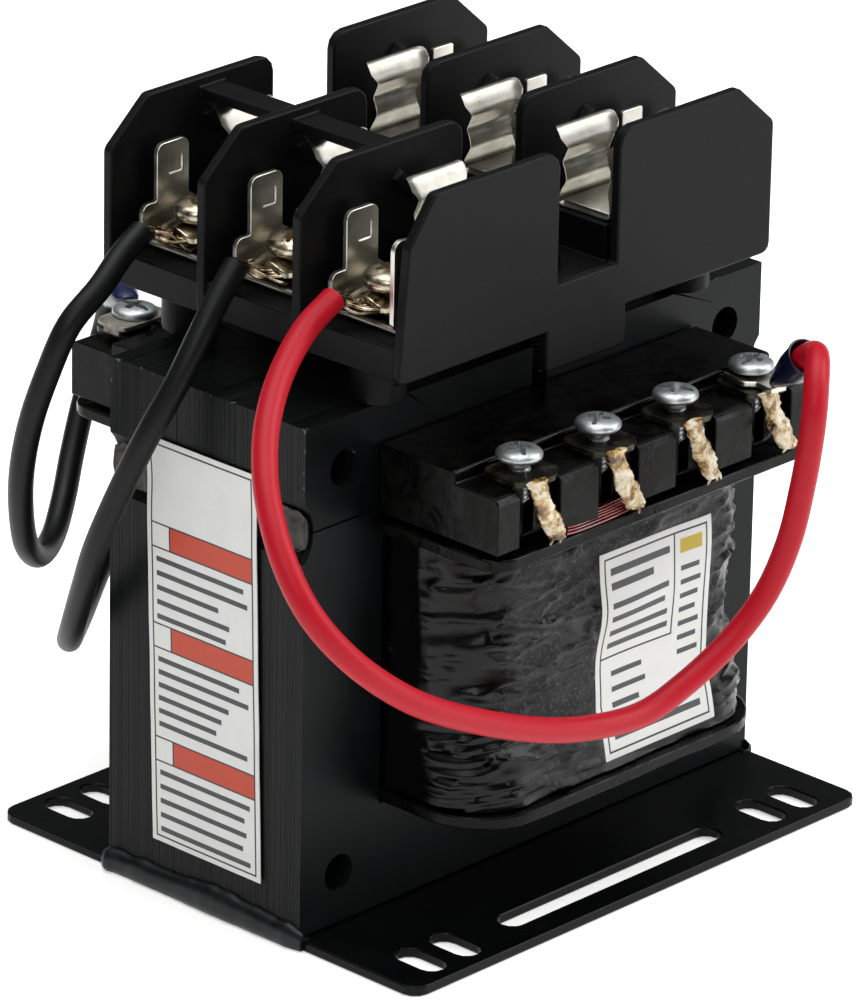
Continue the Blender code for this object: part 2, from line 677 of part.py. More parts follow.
def pole_places():
    return [BLOCK_SHIFT + POLE_PITCH * (i - (POLES - 1) / 2) for i in range(POLES)]


def mount_places():
    """The block's own two screws stand in its outer bays."""
    return [(0.0, y) for y in (pole_places()[0], pole_places()[-1])]


def wall_places():
    return [BLOCK_SHIFT + POLE_PITCH * (i - POLES / 2) for i in range(POLES + 1)]


def make_fuse_block(moulding):
    x = BLOCK_LENGTH / 2
    walls = wall_places()
    top = CORE_TOP
    span = (walls[0], walls[-1])
    forms = [prism(rectangle(-x + 0.6, span[0], x - 0.6, span[1]), top + WALL_BOTTOM + 0.1, top + FLOOR_TOP)]
    for i, y in enumerate(walls):
        forms.append(prism(wall_outline(i in (0, POLES)), y - WALL / 2, y + WALL / 2, "Y"))
    for hand in (-1, 1):
        for y in (walls[0] + POLE_PITCH / 2, walls[-1] - POLE_PITCH / 2):
            forms.append(prism(circle(hand * FOOT_X, y, FOOT_DIAMETER), top + GAP, top + WALL_BOTTOM + 1))
        for y in pole_places():
            near, far = sorted((hand * (CLIP_NEAR - 1), hand * (CLIP_NEAR + CLIP_WIDTH + 1.4)))
            pedestal = rectangle(near, y - 5.2, far, y + 5.2)
            forms.append(prism(pedestal, top + FLOOR_TOP - 1, top + CLIP_FLOOR - GAP))
        for y in walls[1:]:
            face = y - WALL / 2
            rib = [(hand * 20.8, 27.6), (hand * 19.2, 28.6), (hand * 15.8, 24.9), (hand * 17.4, 23.9)]
            forms.append(prism([(a, top + b) for a, b in rib], face - RIB_THICKNESS, face + 0.4, "Y"))
    for low, high in ((walls[1], walls[2]), (walls[2], walls[3])):
        beam = rectangle(-TIE_X - TIE_WIDTH / 2, low, -TIE_X + TIE_WIDTH / 2, high)
        forms.append(prism(beam, top + CLIP_TOP + TIE_OVER_CLIP, top + WALL_TOP - TIE_BELOW_TOP))
    cuts = []
    for hand in (-1, 1):
        for y in pole_places():
            cuts.append(prism(circle(hand * BLOCK_SCREW_X, y, SHANK_HOLE, 12), top, top + FLOOR_TOP + 1))
    cuts += [prism(circle(a, b, SHANK_HOLE, 12), top, top + FLOOR_TOP + 1) for a, b in mount_places()]
    show("fuse_block_base", carved("fuse_block_base", forms, cuts), moulding)


def clip_terminal_mesh():
    """A pole's left stamping at Y zero: the fuse clip, its link and the wiring terminal."""
    top = CORE_TOP
    grip = FUSE_DIAMETER / 2 - SHEET / 2
    leaf = [(grip + 0.45, CLIP_FLOOR), (grip - 0.5, CLIP_FLOOR + 3.6), (grip + 0.2, CLIP_FLOOR + 6.2),
            (grip - 0.55, CLIP_FLOOR + 9.0), (grip - 0.2, CLIP_TOP - 0.9), (grip + 0.6, CLIP_TOP - 0.1),
            (grip + 1.6, CLIP_TOP - 0.9)]
    line = [(-y, top + z) for y, z in reversed(leaf)] + [(y, top + z) for y, z in leaf]
    spring = prism(ribbon(line, SHEET), -CLIP_NEAR - CLIP_WIDTH, -CLIP_NEAR, "X")

    base = FLOOR_TOP + GAP
    step = CLIP_NEAR + CLIP_WIDTH
    link = [(-TERMINAL_EDGE, base), (-step - 3.0, base), (-step - 1.6, CLIP_FLOOR), (-CLIP_NEAR - 0.5, CLIP_FLOOR)]
    strap = prism([(a, top + b) for a, b in ribbon(link, SHEET)], -4.4, 4.4, "Y")
    floor = prism(rectangle(-TERMINAL_EDGE, -TERMINAL_HALF, -TERMINAL_INNER, TERMINAL_HALF, 0.5, 2),
                  top + base, top + base + SHEET)

    shoulder = SHOULDER_EDGE - TERMINAL_EDGE
    tab = [(-TERMINAL_EDGE, base, 0), (-SHOULDER_EDGE, base + shoulder + 0.6, 0.8),
           (-SHOULDER_EDGE, SHOULDER_TOP, 1.2), (-TAB_EDGE, SHOULDER_TOP, 0.2), (-TAB_EDGE, TAB_TOP, 1.2),
           (-TAB_EDGE + TAB_WIDTH, TAB_TOP, 1.2), (-TAB_EDGE + TAB_WIDTH, SHOULDER_TOP, 0.6),
           (-TERMINAL_INNER, SHOULDER_TOP - 0.8, 0.5), (-TERMINAL_INNER, base, 0)]
    rear = prism([(a, top + b) for a, b in rounded(tab, 2)], TERMINAL_HALF - SHEET, TERMINAL_HALF, "Y")
    guard = [(-TERMINAL_EDGE, base, 0), (-SHOULDER_EDGE, base + shoulder + 0.6, 0.8), (-SHOULDER_EDGE, GUARD_TOP, 1.4),
             (-TERMINAL_INNER - 3.2, GUARD_TOP, 1.4), (-TERMINAL_INNER, SHOULDER_TOP, 0.6), (-TERMINAL_INNER, base, 0)]
    front = prism([(a, top + b) for a, b in rounded(guard, 2)], -TERMINAL_HALF, -TERMINAL_HALF + SHEET, "Y")
    bore = prism(circle(-BLOCK_SCREW_X, 0, SHANK_HOLE, 12), top + base - 1, top + base + SHEET + 1)
    return carved("clip_terminal", [strap, spring, floor, rear, front], [bore])


def pressure_plate_mesh():
    half = PRESSURE_PLATE / 2
    return mesh_of("pressure_plate", prism(rectangle(-half, -half, half, half, 1.0, 2), 0, SHEET,
                                           holes=[circle(0, 0, SHANK_HOLE, 12)]))


def make_block_terminals(tinned, zinc):
    clip = clip_terminal_mesh()
    other = clip.copy()
    other.transform(Matrix.Scale(-1, 4, (1, 0, 0)))
    other.flip_normals()
    plate = pressure_plate_mesh()
    screw = screw_mesh("block_screw", BLOCK_HEAD, BLOCK_SCREW_LENGTH)
    for hand, side, mesh in ((-1, "left", clip), (1, "right", other)):
        for number, y in enumerate(pole_places(), 1):
            show(f"clip_terminal_{side}_{number}", mesh, tinned).location.y = y * MM
            lift = CONDUCTOR + GAP if side == "left" else 0.0
            at = Vector((hand * BLOCK_SCREW_X, y, BLOCK_SEAT + lift))
            piece = show(f"pressure_plate_{side}_{number}", plate, zinc)
            piece.location = at * MM
            piece = show(f"block_screw_{side}_{number}", screw, zinc, 40)
            piece.location = (at + Vector((0, 0, SHEET + GAP))) * MM
            piece.rotation_euler.z = math.radians(40 + 35 * number)


def make_mount_screws(zinc):
    screw = screw_mesh("mount_screw", HEAD, FLOOR_TOP + GAP + MOUNT_DEPTH - 1)
    for number, (x, y) in enumerate(mount_places(), 1):
        piece = show(f"block_mount_screw_{number}", screw, zinc, 40)
        piece.location = Vector((x, y, CORE_TOP + FLOOR_TOP + GAP)) * MM


def make_labels(paper):
    x = -HALF_WIDTH - GAP
    width = SIDE_LABEL_WIDTH / 2
    outline = rectangle(SIDE_LABEL_PLACE - width, SIDE_LABEL_BOTTOM, SIDE_LABEL_PLACE + width,
                        min(SIDE_LABEL_BOTTOM + SIDE_LABEL_HEIGHT, CORE_TOP), 0.4, 2)
    solid("side_label", prism(outline, x - LABEL, x, "X"), paper)

    low, high = COIL_LABEL_BOTTOM, COIL_LABEL_BOTTOM + COIL_LABEL_HEIGHT
    heights = [low, *[z for z, _ in wrap_levels() if low + 0.5 < z < high - 0.5], high]
    inner = [(-wrap_reach(z) - GAP, z) for z in heights]
    outer = [(y - LABEL, z) for y, z in reversed(inner)]
    left = COIL_LABEL_PLACE - COIL_LABEL_WIDTH / 2
    solid("coil_label", prism(inner + outer, left, left + COIL_LABEL_WIDTH, "X"), paper, 50)


def screw_lift(row, number):
    """How far a board screw's head stands over its lug."""
    for lead in LEADS:
        if lead["screw"] == (row, number):
            return GAP + FORK_SHEET + GAP + (SHEET + GAP if "clamped" in lead else 0.0)
    return BACKED_OUT if row == "front" else GAP


def screw_place(row, number):
    """A board screw's axis."""
    spin = Matrix.Rotation(math.pi if row == "rear" else 0.0, 3, "Z")
    return spin @ Vector((terminal_places()[number - 1], -TERMINAL_REACH, 0))


def fork_mesh(direction):
    """A crimped fork at its screw: a flat tongue on the lug and a funnel barrel along a direction."""
    along = Vector(direction).normalized()
    pad = prism(circle(0, 0, FORK, 16), 0, FORK_SHEET, holes=[circle(0, 0, SHANK_HOLE, 12)])
    neck = prism(rectangle(SHANK_HOLE / 2 + 0.4, -1.7, FORK_REACH + 0.4, 1.7), 0, FORK_SHEET)
    barrel = turned([(0.6, -0.4), (1.3, 0.3), (1.8, 1.6), (BARREL / 2 - 0.3, 4.6), (BARREL / 2, BARREL_LENGTH)], 14)
    bore = turned([(LEAD / 2 + 0.2, 4.2), (LEAD / 2 + 0.5, BARREL_LENGTH + 0.1)], 14)
    lie = Matrix.Rotation(math.pi / 2 - math.asin(along.z), 4, "Y")
    for form in (barrel, bore):
        bmesh.ops.transform(form, matrix=Matrix.Translation((FORK_REACH, 0, FORK_RISE)) @ lie, verts=form.verts)
    mesh = carved("fork", [pad, neck, barrel], [bore])
    mesh.transform(Matrix.Rotation(math.atan2(along.y, along.x), 4, "Z"))
    return mesh


def barrel_mouth(lead, inward=0.0):
    """The middle of a fork barrel's open end, and inward of it along its axis."""
    along = Vector(lead["direction"]).normalized()
    outward = Vector((along.x, along.y, 0)).normalized()
    root = screw_place(*lead["screw"]) + outward * FORK_REACH + Vector((0, 0, FORK_BOTTOM + FORK_RISE))
    return root + along * (BARREL_LENGTH - inward)


def lead_points(lead):
    """The lead's middle line: its bare end under the pressure plate, then the insulated run."""
    pole = pole_places()[lead["pole"]]
    height = BLOCK_SEAT + CONDUCTOR / 2
    beside = pole + SHANK / 2 + CONDUCTOR / 2 + GAP
    strip = Vector((-STRIP_X, pole + STRIP_BESIDE, CORE_TOP + STRIP_HEIGHT))
    bare = [Vector((-BLOCK_SCREW_X, beside, height)), Vector((-BLOCK_SCREW_X - 4.0, beside, height)), strip]
    route = [strip, *[Vector(p) for p in lead["route"]], *[barrel_mouth(lead, inward) for inward in (0.0, 2.0, 4.0)]]
    insulated = smooth_path(route, 1.3 * LEAD)
    step = (insulated[1] - insulated[0]).normalized() * 0.4
    return bare, [strip + step, *insulated[1:]]


def make_leads(red, black, blue):
    for lead in LEADS:
        piece = show(lead["fork"], fork_mesh(lead["direction"]), blue, 40)
        piece.location = (screw_place(*lead["screw"]) + Vector((0, 0, FORK_BOTTOM))) * MM
        bare, insulated = lead_points(lead)
        sizes = [CONDUCTOR] * len(bare) + [LEAD] * len(insulated)
        tube(lead["name"], [*bare, *insulated], sizes, red if lead["name"] == "red_lead" else black)


def make_wire_clamp(zinc):
    """A saddle plate over the rear fork, its two lips turned down beside it."""
    x, y = WIRE_CLAMP[0] / 2, WIRE_CLAMP[1] / 2
    length, drop = CLAMP_LIP
    hole = circle(-CLAMP_PLACE[0], -CLAMP_PLACE[1], SHANK_HOLE, 12)
    forms = [prism(rectangle(-x, -y, x, y, 1.0, 2), 0, SHEET, holes=[hole])]
    for near, far in ((-x, -x + SHEET), (x - SHEET, x)):
        forms.append(prism(rectangle(near, -y + 1.2, far, -y + length), -drop, SHEET / 2))
    piece = show("rear_wire_clamp", carved("rear_wire_clamp", forms), zinc)
    for lead in LEADS:
        if "clamped" in lead:
            at = screw_place(*lead["screw"]) + Vector((*CLAMP_PLACE, FORK_BOTTOM + FORK_SHEET + GAP))
            piece.location = at * MM


def main():
    for piece in list(bpy.data.objects):
        bpy.data.objects.remove(piece, do_unlink=True)
    steel = finish("black_dipped_steel", (0.012, 0.014, 0.016), 0.35)
    iron = finish("varnished_laminations", (0.02, 0.022, 0.022), 0.4)
    weld = finish("weld_metal", (0.05, 0.045, 0.035), 0.5, 0.3)
    moulding = finish("black_moulding", (0.012, 0.012, 0.013), 0.45)
    paper = finish("label_paper", (0.85, 0.85, 0.84), 0.5)
    insulation = finish("kraft_insulation", (0.45, 0.33, 0.2), 0.8)
    enamel = finish("enamelled_wire", (0.25, 0.03, 0.02), 0.3)
    tape = finish("varnished_tape", (0.012, 0.012, 0.013), 0.3)
    tinned = finish("tinned_brass", (0.7, 0.68, 0.62), 0.25, 1.0)
    zinc = finish("zinc_screw", (0.65, 0.66, 0.67), 0.3, 1.0)
    red = finish("red_insulation", (0.6, 0.015, 0.04), 0.45)
    black = finish("black_insulation", (0.01, 0.01, 0.011), 0.5)
    blue = finish("blue_insulation", (0.008, 0.02, 0.11), 0.35)
    make_foot_plate(steel)
    make_foot_welds(weld)
    make_core(iron)
    make_joint_welds(weld)
    make_coil(moulding, insulation, enamel, tape)
    make_boards(moulding)
    make_board_terminals(tinned, zinc)
    make_fuse_block(moulding)
    make_block_terminals(tinned, zinc)
    make_mount_screws(zinc)
    make_labels(paper)
    make_leads(red, black, blue)
    make_wire_clamp(zinc)


main()
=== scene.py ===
"""Looks of an open-frame control transformer with a three-pole fuse block wired on top.

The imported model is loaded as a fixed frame, and every surface is dressed around it. Forms
are worked out in millimetres and turned to metres when they become pieces. +X runs along
the front face, -Y is the front and +Z is up.
"""

import math
import random
from functools import cache

import bmesh
import bpy
from bpy.props import FloatProperty, FloatVectorProperty, IntProperty, PointerProperty
from mathutils import Matrix, Vector, noise


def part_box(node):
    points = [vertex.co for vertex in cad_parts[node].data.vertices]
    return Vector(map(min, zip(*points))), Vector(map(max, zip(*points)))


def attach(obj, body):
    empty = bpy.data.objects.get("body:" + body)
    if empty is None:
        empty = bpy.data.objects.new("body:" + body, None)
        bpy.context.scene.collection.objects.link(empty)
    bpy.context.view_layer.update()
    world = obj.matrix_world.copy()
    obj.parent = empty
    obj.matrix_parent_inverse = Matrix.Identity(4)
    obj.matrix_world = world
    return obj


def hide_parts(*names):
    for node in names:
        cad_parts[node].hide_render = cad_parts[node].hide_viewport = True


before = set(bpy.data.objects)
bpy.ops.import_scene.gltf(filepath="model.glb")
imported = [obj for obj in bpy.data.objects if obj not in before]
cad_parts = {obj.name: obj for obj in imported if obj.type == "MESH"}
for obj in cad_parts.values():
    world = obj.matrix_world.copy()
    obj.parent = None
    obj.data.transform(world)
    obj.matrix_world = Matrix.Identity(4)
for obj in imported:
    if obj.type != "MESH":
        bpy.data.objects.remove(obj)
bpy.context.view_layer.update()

bl_info = {
    "name": "Control transformer looks",
    "version": (1, 0, 0),
    "blender": (4, 5, 0),
    "location": "3D View > Sidebar > Transformer",
    "description": "Dresses the model of a control transformer and sets its camera and light",
    "category": "Object",
}

MM = 0.001
BODY = "root"

# The photograph's view
CAMERA_PLACE = (-0.79203, -0.74354, 0.49872)
CAMERA_TURN = -46.753                   # degrees round the vertical
CAMERA_FALL = 22.456                    # degrees below the horizon
CAMERA_ROLL = 1.107
CAMERA_LENS = 291.17

# Sizes shared with the solids, in millimetres
HEAD_HEIGHT = 2.5
SHANK = 3.5
THREAD_PITCH = 0.7
CORE_SHEETS = 78
WRAP_CORNER = 11.0
BARREL_LENGTH = 9.0
FORK_REACH = 6.4
FORK_RISE = 1.3
SHEET = 0.8                             # terminals, lugs and forks are stamped from it
POLE_PITCH = 18.8
POLE_SHIFT = 0.8
POLES = [POLE_SHIFT + POLE_PITCH * step for step in (-1, 0, 1)]

# Sizes and counts that only the looks need
TAB_SHIFT = 0.8                         # how far the tabs stand off the solids' place
WALL_LEAN = 2.4
TAIL_LENGTH = 9.7
LOOSE_TAIL = 1                          # the last digit of the seed whose tail has a loose wire
STRANDS = 17
STRAND = 0.56
MAGNET_WIRES = 6
MAGNET_WIRE = 0.34
LABEL_SHEET = 0.14
WRAP_DEPTH = 60.0                       # gives every level of the tape the same number of points
TAPE_LEVELS = 84
TAPE_SPACING = 0.62
THREAD_SIDES = 24
BARREL_SIDES = 40
WELD_STEPS = 44

# The leads' routes: from the end of the insulation to the mouth of a fork's barrel
LEADS = [
    {"name": "red_lead", "pole": 0, "screw": "front_screw_4", "direction": (-0.16, -0.72, 0.7),
     "route": [(-45.6, -17, 93.3), (-52.9, -20, 90.2), (-58.9, -23.5, 87), (-63.4, -27, 83.3),
               (-67.8, -32, 78.7), (-70.8, -38, 72.6), (-70.6, -43, 66), (-66.3, -46.5, 59.1),
               (-58.4, -48.5, 52.1), (-49.4, -49.5, 46.7), (-35.7, -50, 40.6), (-23.2, -50, 36.6),
               (-11.2, -50.5, 35.2), (-2.6, -51.3, 37.7), (4.9, -53, 42.6), (9.3, -55.4, 49.2),
               (11.4, -57.6, 57.4), (12, -59.2, 66), (12.2, -60.2, 73), (12.8, -60.2, 77.7),
               (14.5, -58.9, 81), (17.2, -56.6, 82.8), (19.9, -53.8, 82.5)]},
    {"name": "black_lead_rear", "pole": 2, "screw": "rear_screw_4", "direction": (0.55, 0.8, -0.25),
     "route": [(-42.6, 22.2, 92.9), (-47.6, 21.5, 89.5), (-53.2, 22, 85.1), (-55.9, 23.5, 78.2),
               (-57.3, 25.5, 70.5), (-56.7, 28, 62.3), (-54, 31, 54.3), (-49.4, 34.7, 46.6),
               (-42.6, 39.2, 41.6), (-35.2, 44, 41), (-29, 48.2, 44), (-24, 51.6, 48.6), (-19.6, 54, 54),
               (-16, 55.4, 59), (-13.6, 56.1, 62.6), (-12.9, 55.7, 65.8), (-13.4, 54.5, 69),
               (-14.4, 52.7, 71)]},
    {"name": "black_lead_middle", "pole": 1, "screw": "rear_screw_3", "direction": (0.75, 0.62, -0.2),
     "route": [(-42.6, 3, 91.5), (-46.4, 2.6, 87.3), (-50.4, 3, 81.2), (-54.2, 5, 73.7), (-56.2, 8.5, 64.7),
               (-56.5, 13, 55), (-53.8, 18.5, 45.8), (-49.9, 24.5, 37.4), (-44.4, 31, 31.4),
               (-37.5, 37.5, 28.2), (-29.5, 43.5, 27.9), (-21, 48.6, 30.8), (-13, 51.6, 36.4),
               (-5.6, 53, 43.6), (0.4, 53.6, 50.6), (4.4, 53.7, 56.4), (7, 53.3, 62.4), (7.6, 52.2, 67.4),
               (6.2, 50.3, 70.6)]},
]


def linear(code):
    """An sRGB hex colour as the linear one that shaders read."""
    values = [int(code[i:i + 2], 16) / 255 for i in (1, 3, 5)]
    return (*[v / 12.92 if v <= 0.04045 else ((v + 0.055) / 1.055) ** 2.4 for v in values], 1.0)


def per(size):
    """The scale that gives a pattern features of about this many millimetres."""
    return 1 / (size * MM)


def add(tree, kind, inputs=None, stops=(), **settings):
    """A node with its settings; an input is a value, a hex colour, a node or a socket that feeds it."""
    node = tree.nodes.new("ShaderNode" + kind)
    for name, value in settings.items():
        setattr(node, name, value)
    for name, value in (inputs or {}).items():
        if isinstance(value, bpy.types.Node):
            value = value.outputs[2 if value.bl_idname == "ShaderNodeMix" else 0]
        if isinstance(value, bpy.types.NodeSocket):
            tree.links.new(value, node.inputs[name])
        else:
            node.inputs[name].default_value = linear(value) if isinstance(value, str) else value
    for i, (position, colour) in enumerate(stops):
        stop = node.color_ramp.elements[i] if i < 2 else node.color_ramp.elements.new(position)
        stop.position = position
        stop.color = linear(colour) if isinstance(colour, str) else (colour, colour, colour, 1.0)
    return node


def start(name):
    """An empty material's node tree and the place on the object that its patterns follow."""
    material = bpy.data.materials.new(name)
    material.use_nodes = True
    material.node_tree.nodes.clear()
    return material, material.node_tree, add(material.node_tree, "TexCoord").outputs["Object"]


def close(material, colour, gloss, relief, rest):
    """Ends a material in its shader. Gloss is a pattern, the roughness at its low and its high, and
    where those lie if not at 0 and 1; relief is a pattern, its strength and its height in millimetres."""
    tree = material.node_tree
    inputs = {"Base Color": colour, **rest}
    if gloss:
        pattern, least, most, *span = gloss
        first, last = span or (0, 1)
        inputs["Roughness"] = add(tree, "MapRange", {"Value": pattern, "From Min": first, "From Max": last,
                                                     "To Min": least, "To Max": most})
    if relief:
        pattern, strength, height = relief
        inputs["Normal"] = add(tree, "Bump", {"Height": pattern, "Strength": strength,
                                              "Distance": height * MM})
    add(tree, "OutputMaterial", {"Surface": add(tree, "BsdfPrincipled", inputs)})
    return material


# Finishes of one cloudy pattern each: its size in millimetres, detail, roughness and distortion, then
# its tones, its gloss and its relief as close() takes them, and the rest of the shader's inputs
FINISHES = {
    # The block's moulding after the varnish dip: glossy black with amber runs and dry spots
    "varnished_moulding": ((5, 6, 0.62, 0.6), [(0.35, "#020202"), (0.62, "#060605"), (0.78, "#110D06")],
                           (0.16, 0.42, 0.42, 0.58), (0.45, 0.4), {"Specular IOR Level": 0.12}),
    # Tinned brass near the wires, stained brown-gold by flux and varnish
    "stained_tin": ((3.4, 4, 0.55, 0.4), [(0.38, "#2C251B"), (0.5, "#5C5444"), (0.66, "#8C877A")],
                    (0.18, 0.38), (0.2, 0.1), {"Metallic": 1.0}),
    # Clear-passivated zinc on a headed and rolled screw: cool bright metal with small dents
    "bright_zinc": ((0.9, 4, 0.6, 0), [(0.3, "#9AA0A1"), (0.7, "#CDD1D1")], None, (0.22, 0.08),
                    {"Metallic": 1.0, "Roughness": 0.42}),
    # The bottoms of the screws' recesses, darker than the heads as painted shade, half gloss
    "grey_recess_painted_shade": ((0.7, 4, 0.5, 0), [(0.25, "#4C4943"), (0.6, "#868C8D")], None, None,
                    {"Metallic": 0.3, "Roughness": 0.42}),
    "brown_recess_painted_shade": ((0.7, 4, 0.5, 0), [(0.25, "#4C4943"), (0.6, "#8A7350")], None, None,
                     {"Metallic": 0.3, "Roughness": 0.42}),
    # Zinc plate gone dull under varnish mist: beige-grey, hardly any shine
    "worn_zinc": ((2.4, 5, 0.65, 0), [(0.3, "#6E6A60"), (0.7, "#B4B1A6")], None, (0.3, 0.1),
                  {"Metallic": 0.9, "Roughness": 0.52}),
    # A plated screw head gone warm: cream-gold metal with brown varnish dried on it
    "stained_screw": ((1.6, 5, 0.6, 0.5), [(0.34, "#3A2A18"), (0.44, "#9C8F78"), (0.7, "#D8CEBC")], None,
                      (0.25, 0.1), {"Metallic": 1.0, "Roughness": 0.27}),
    # Tinned copper strands, twisted: warm grey wire darkened by flux
    "copper_strands": ((1.6, 3, 0.5, 0), [(0.35, "#4A3A28"), (0.55, "#8A7B64"), (0.75, "#C9C2B4")],
                       None, None, {"Metallic": 1.0, "Roughness": 0.24}),
    # Nylon sleeves of the crimped forks, moulded: deep blue and smooth
    "navy_nylon": ((2.5, 3, 0.5, 0), "#050C24", (0.2, 0.34), (0.12, 0.2),
                   {"Coat Weight": 0.1, "Coat Roughness": 0.1}),
    "blue_nylon": ((2.5, 3, 0.5, 0), "#06153E", (0.2, 0.34), (0.12, 0.2),
                   {"Coat Weight": 0.1, "Coat Roughness": 0.1}),
    # Solder under dried rosin flux: cream crust that turns amber and brown where it pooled
    "solder_flux": ((2.6, 5, 0.6, 0.3), [(0.36, "#3A2006"), (0.43, "#7E5A22"), (0.49, "#B39A64"),
                                         (0.56, "#D2C8B2"), (0.75, "#E4E1D8")],
                    (0.15, 0.5, 0.4, 0.6), (0.6, 0.3), {"Coat Weight": 0.4, "Coat Roughness": 0.1}),
    # Tinned brass lug that went through the varnish: grey-olive, half gloss
    "dull_lug": ((1.8, 4, 0.5, 0), [(0.35, "#15120D"), (0.55, "#36332A"), (0.75, "#625F55")],
                 (0.25, 0.45), None, {"Metallic": 0.8}),
    # Arc welds under the varnish: smooth beads with soot in their hollows, half metal, half coat
    "joint_weld": ((2.4, 5, 0.6, 0), [(0.38, "#14120F"), (0.72, "#3D3933")], None, (0.3, 0.2),
                   {"Metallic": 0.4, "Roughness": 0.36}),
    "foot_weld": ((2.4, 5, 0.6, 0), [(0.38, "#08090B"), (0.72, "#1C2024")], None, (0.3, 0.2),
                  {"Metallic": 0.4, "Roughness": 0.36}),
    # Copper magnet wire in red enamel: dark, wet-looking and very smooth
    "enamelled_wire": ((4, 2, 0.5, 0), [(0.3, "#3E0806"), (0.7, "#7E1712")], None, None,
                       {"Roughness": 0.22, "Coat Weight": 0.6, "Coat Roughness": 0.05}),
    # Plain kraft insulation, calendered: flat brown with fine fibres
    "kraft_paper": ((0.6, 4, 0.5, 0), [(0.3, "#A07C4E"), (0.7, "#BE9A6A")], None, None, {"Roughness": 0.8}),
}


@cache
def finish(name):
    """A material of the list above."""
    (size, detail, roughness, distortion), tones, gloss, relief, rest = FINISHES[name]
    material, tree, place = start(name)
    clouds = add(tree, "TexNoise", {"Vector": place, "Scale": per(size), "Detail": detail,
                                    "Roughness": roughness, "Distortion": distortion})
    if not isinstance(tones, str):
        tones = add(tree, "ValToRGB", {"Fac": clouds}, tones)
    return close(material, tones, gloss and (clouds, *gloss), relief and (clouds, *relief), rest)


@cache
def dipped_steel():
    """Mild steel dipped in black varnish: a thick gloss coat with dust nibs and thin spots."""
    material, tree, place = start("dipped_steel")
    runs = add(tree, "TexNoise", {"Vector": place, "Scale": per(9), "Detail": 5, "Roughness": 0.6})
    tone = add(tree, "ValToRGB", {"Fac": runs}, [(0.3, "#020303"), (0.75, "#070809")])
    nibs = add(tree, "TexVoronoi", {"Vector": place, "Scale": per(2.2)})
    dust = add(tree, "ValToRGB", {"Fac": nibs}, [(0.0, "#3A3D3E"), (0.07, "#000000")])
    colour = add(tree, "Mix", {0: 1.0, 6: tone, 7: dust}, data_type="RGBA", blend_type="ADD")
    return close(material, colour, (runs, 0.22, 0.42), (runs, 0.35, 0.3), {"Specular IOR Level": 0.14})


@cache
def varnished_sheets():
    """Stacked silicon steel sheets under brown-black varnish: each sheet's edge has its own tone."""
    material, tree, place = start("varnished_sheets")
    depth, width = frame_size("core_e_stack").y, frame_size("core_i_stack").x
    top = corners("core_i_stack")[1].z
    at = add(tree, "SeparateXYZ", {"Vector": place})
    count = add(tree, "Math", {0: at.outputs["Y"], 1: CORE_SHEETS / (depth * MM)}, operation="MULTIPLY")
    number = add(tree, "Math", {0: count}, operation="FLOOR")
    odd = add(tree, "TexWhiteNoise", {"W": number}, noise_dimensions="1D")
    edges = add(tree, "ValToRGB", {"Fac": odd}, [(0.0, "#050807"), (1.0, "#111512")])
    clouds = add(tree, "TexNoise", {"Vector": place, "Scale": per(14), "Detail": 6, "Roughness": 0.62})
    flat = add(tree, "ValToRGB", {"Fac": clouds}, [(0.32, "#020404"), (0.55, "#05090B"), (0.75, "#0B1012")])
    facing = add(tree, "SeparateXYZ", {"Vector": add(tree, "NewGeometry").outputs["True Normal"]})
    front = add(tree, "Math", {0: facing.outputs["Y"]}, operation="ABSOLUTE")
    body = add(tree, "Mix", {0: front, 6: edges, 7: flat}, data_type="RGBA")

    # Pale grey spots along the outer sheets' rims and the ends of the top: bare metal in chips, and a painted
    # edge highlight too, so there are more of them higher up
    deep = add(tree, "Math", {0: at.outputs["Y"]}, operation="ABSOLUTE")
    rim = add(tree, "Math", {0: deep, 1: (depth / 2 - 0.42) * MM}, operation="GREATER_THAN")
    wide = add(tree, "Math", {0: at.outputs["X"]}, operation="ABSOLUTE")
    flank = add(tree, "Math", {0: wide, 1: (width / 2 - 0.4) * MM}, operation="GREATER_THAN")
    crown = add(tree, "Math", {0: at.outputs["Z"], 1: (top - 0.45) * MM}, operation="GREATER_THAN")
    brim = add(tree, "Math", {0: crown, 1: flank}, operation="MULTIPLY")
    outline = add(tree, "Math", {0: rim, 1: brim}, operation="MAXIMUM")
    # Painted highlight: the spots grow stronger towards the top, where light catches the edges
    upper = add(tree, "MapRange", {"Value": at.outputs["Z"], "From Min": (top - 14) * MM,
                                   "From Max": top * MM, "To Min": 0.15, "To Max": 1.0})
    high = add(tree, "Math", {0: outline, 1: upper}, operation="MULTIPLY")
    side = add(tree, "Math", {0: 1.0, 1: front}, operation="SUBTRACT")
    wear_and_highlight = add(tree, "Math", {0: high, 1: side}, operation="MULTIPLY")
    chip_and_glint_noise = add(tree, "TexNoise", {"Vector": place, "Scale": per(1.1), "Detail": 3, "Roughness": 0.7})
    broken = add(tree, "ValToRGB", {"Fac": chip_and_glint_noise}, [(0.6, 0.0), (0.7, 0.6)])
    amount = add(tree, "Math", {0: wear_and_highlight, 1: broken}, operation="MULTIPLY")
    # The pale grey is both bare metal and painted edge highlight
    colour = add(tree, "Mix", {0: amount, 6: body, 7: "#8E9088"}, data_type="RGBA")
    return close(material, colour, (clouds, 0.26, 0.5), (clouds, 0.5, 0.25), {"Specular IOR Level": 0.13})


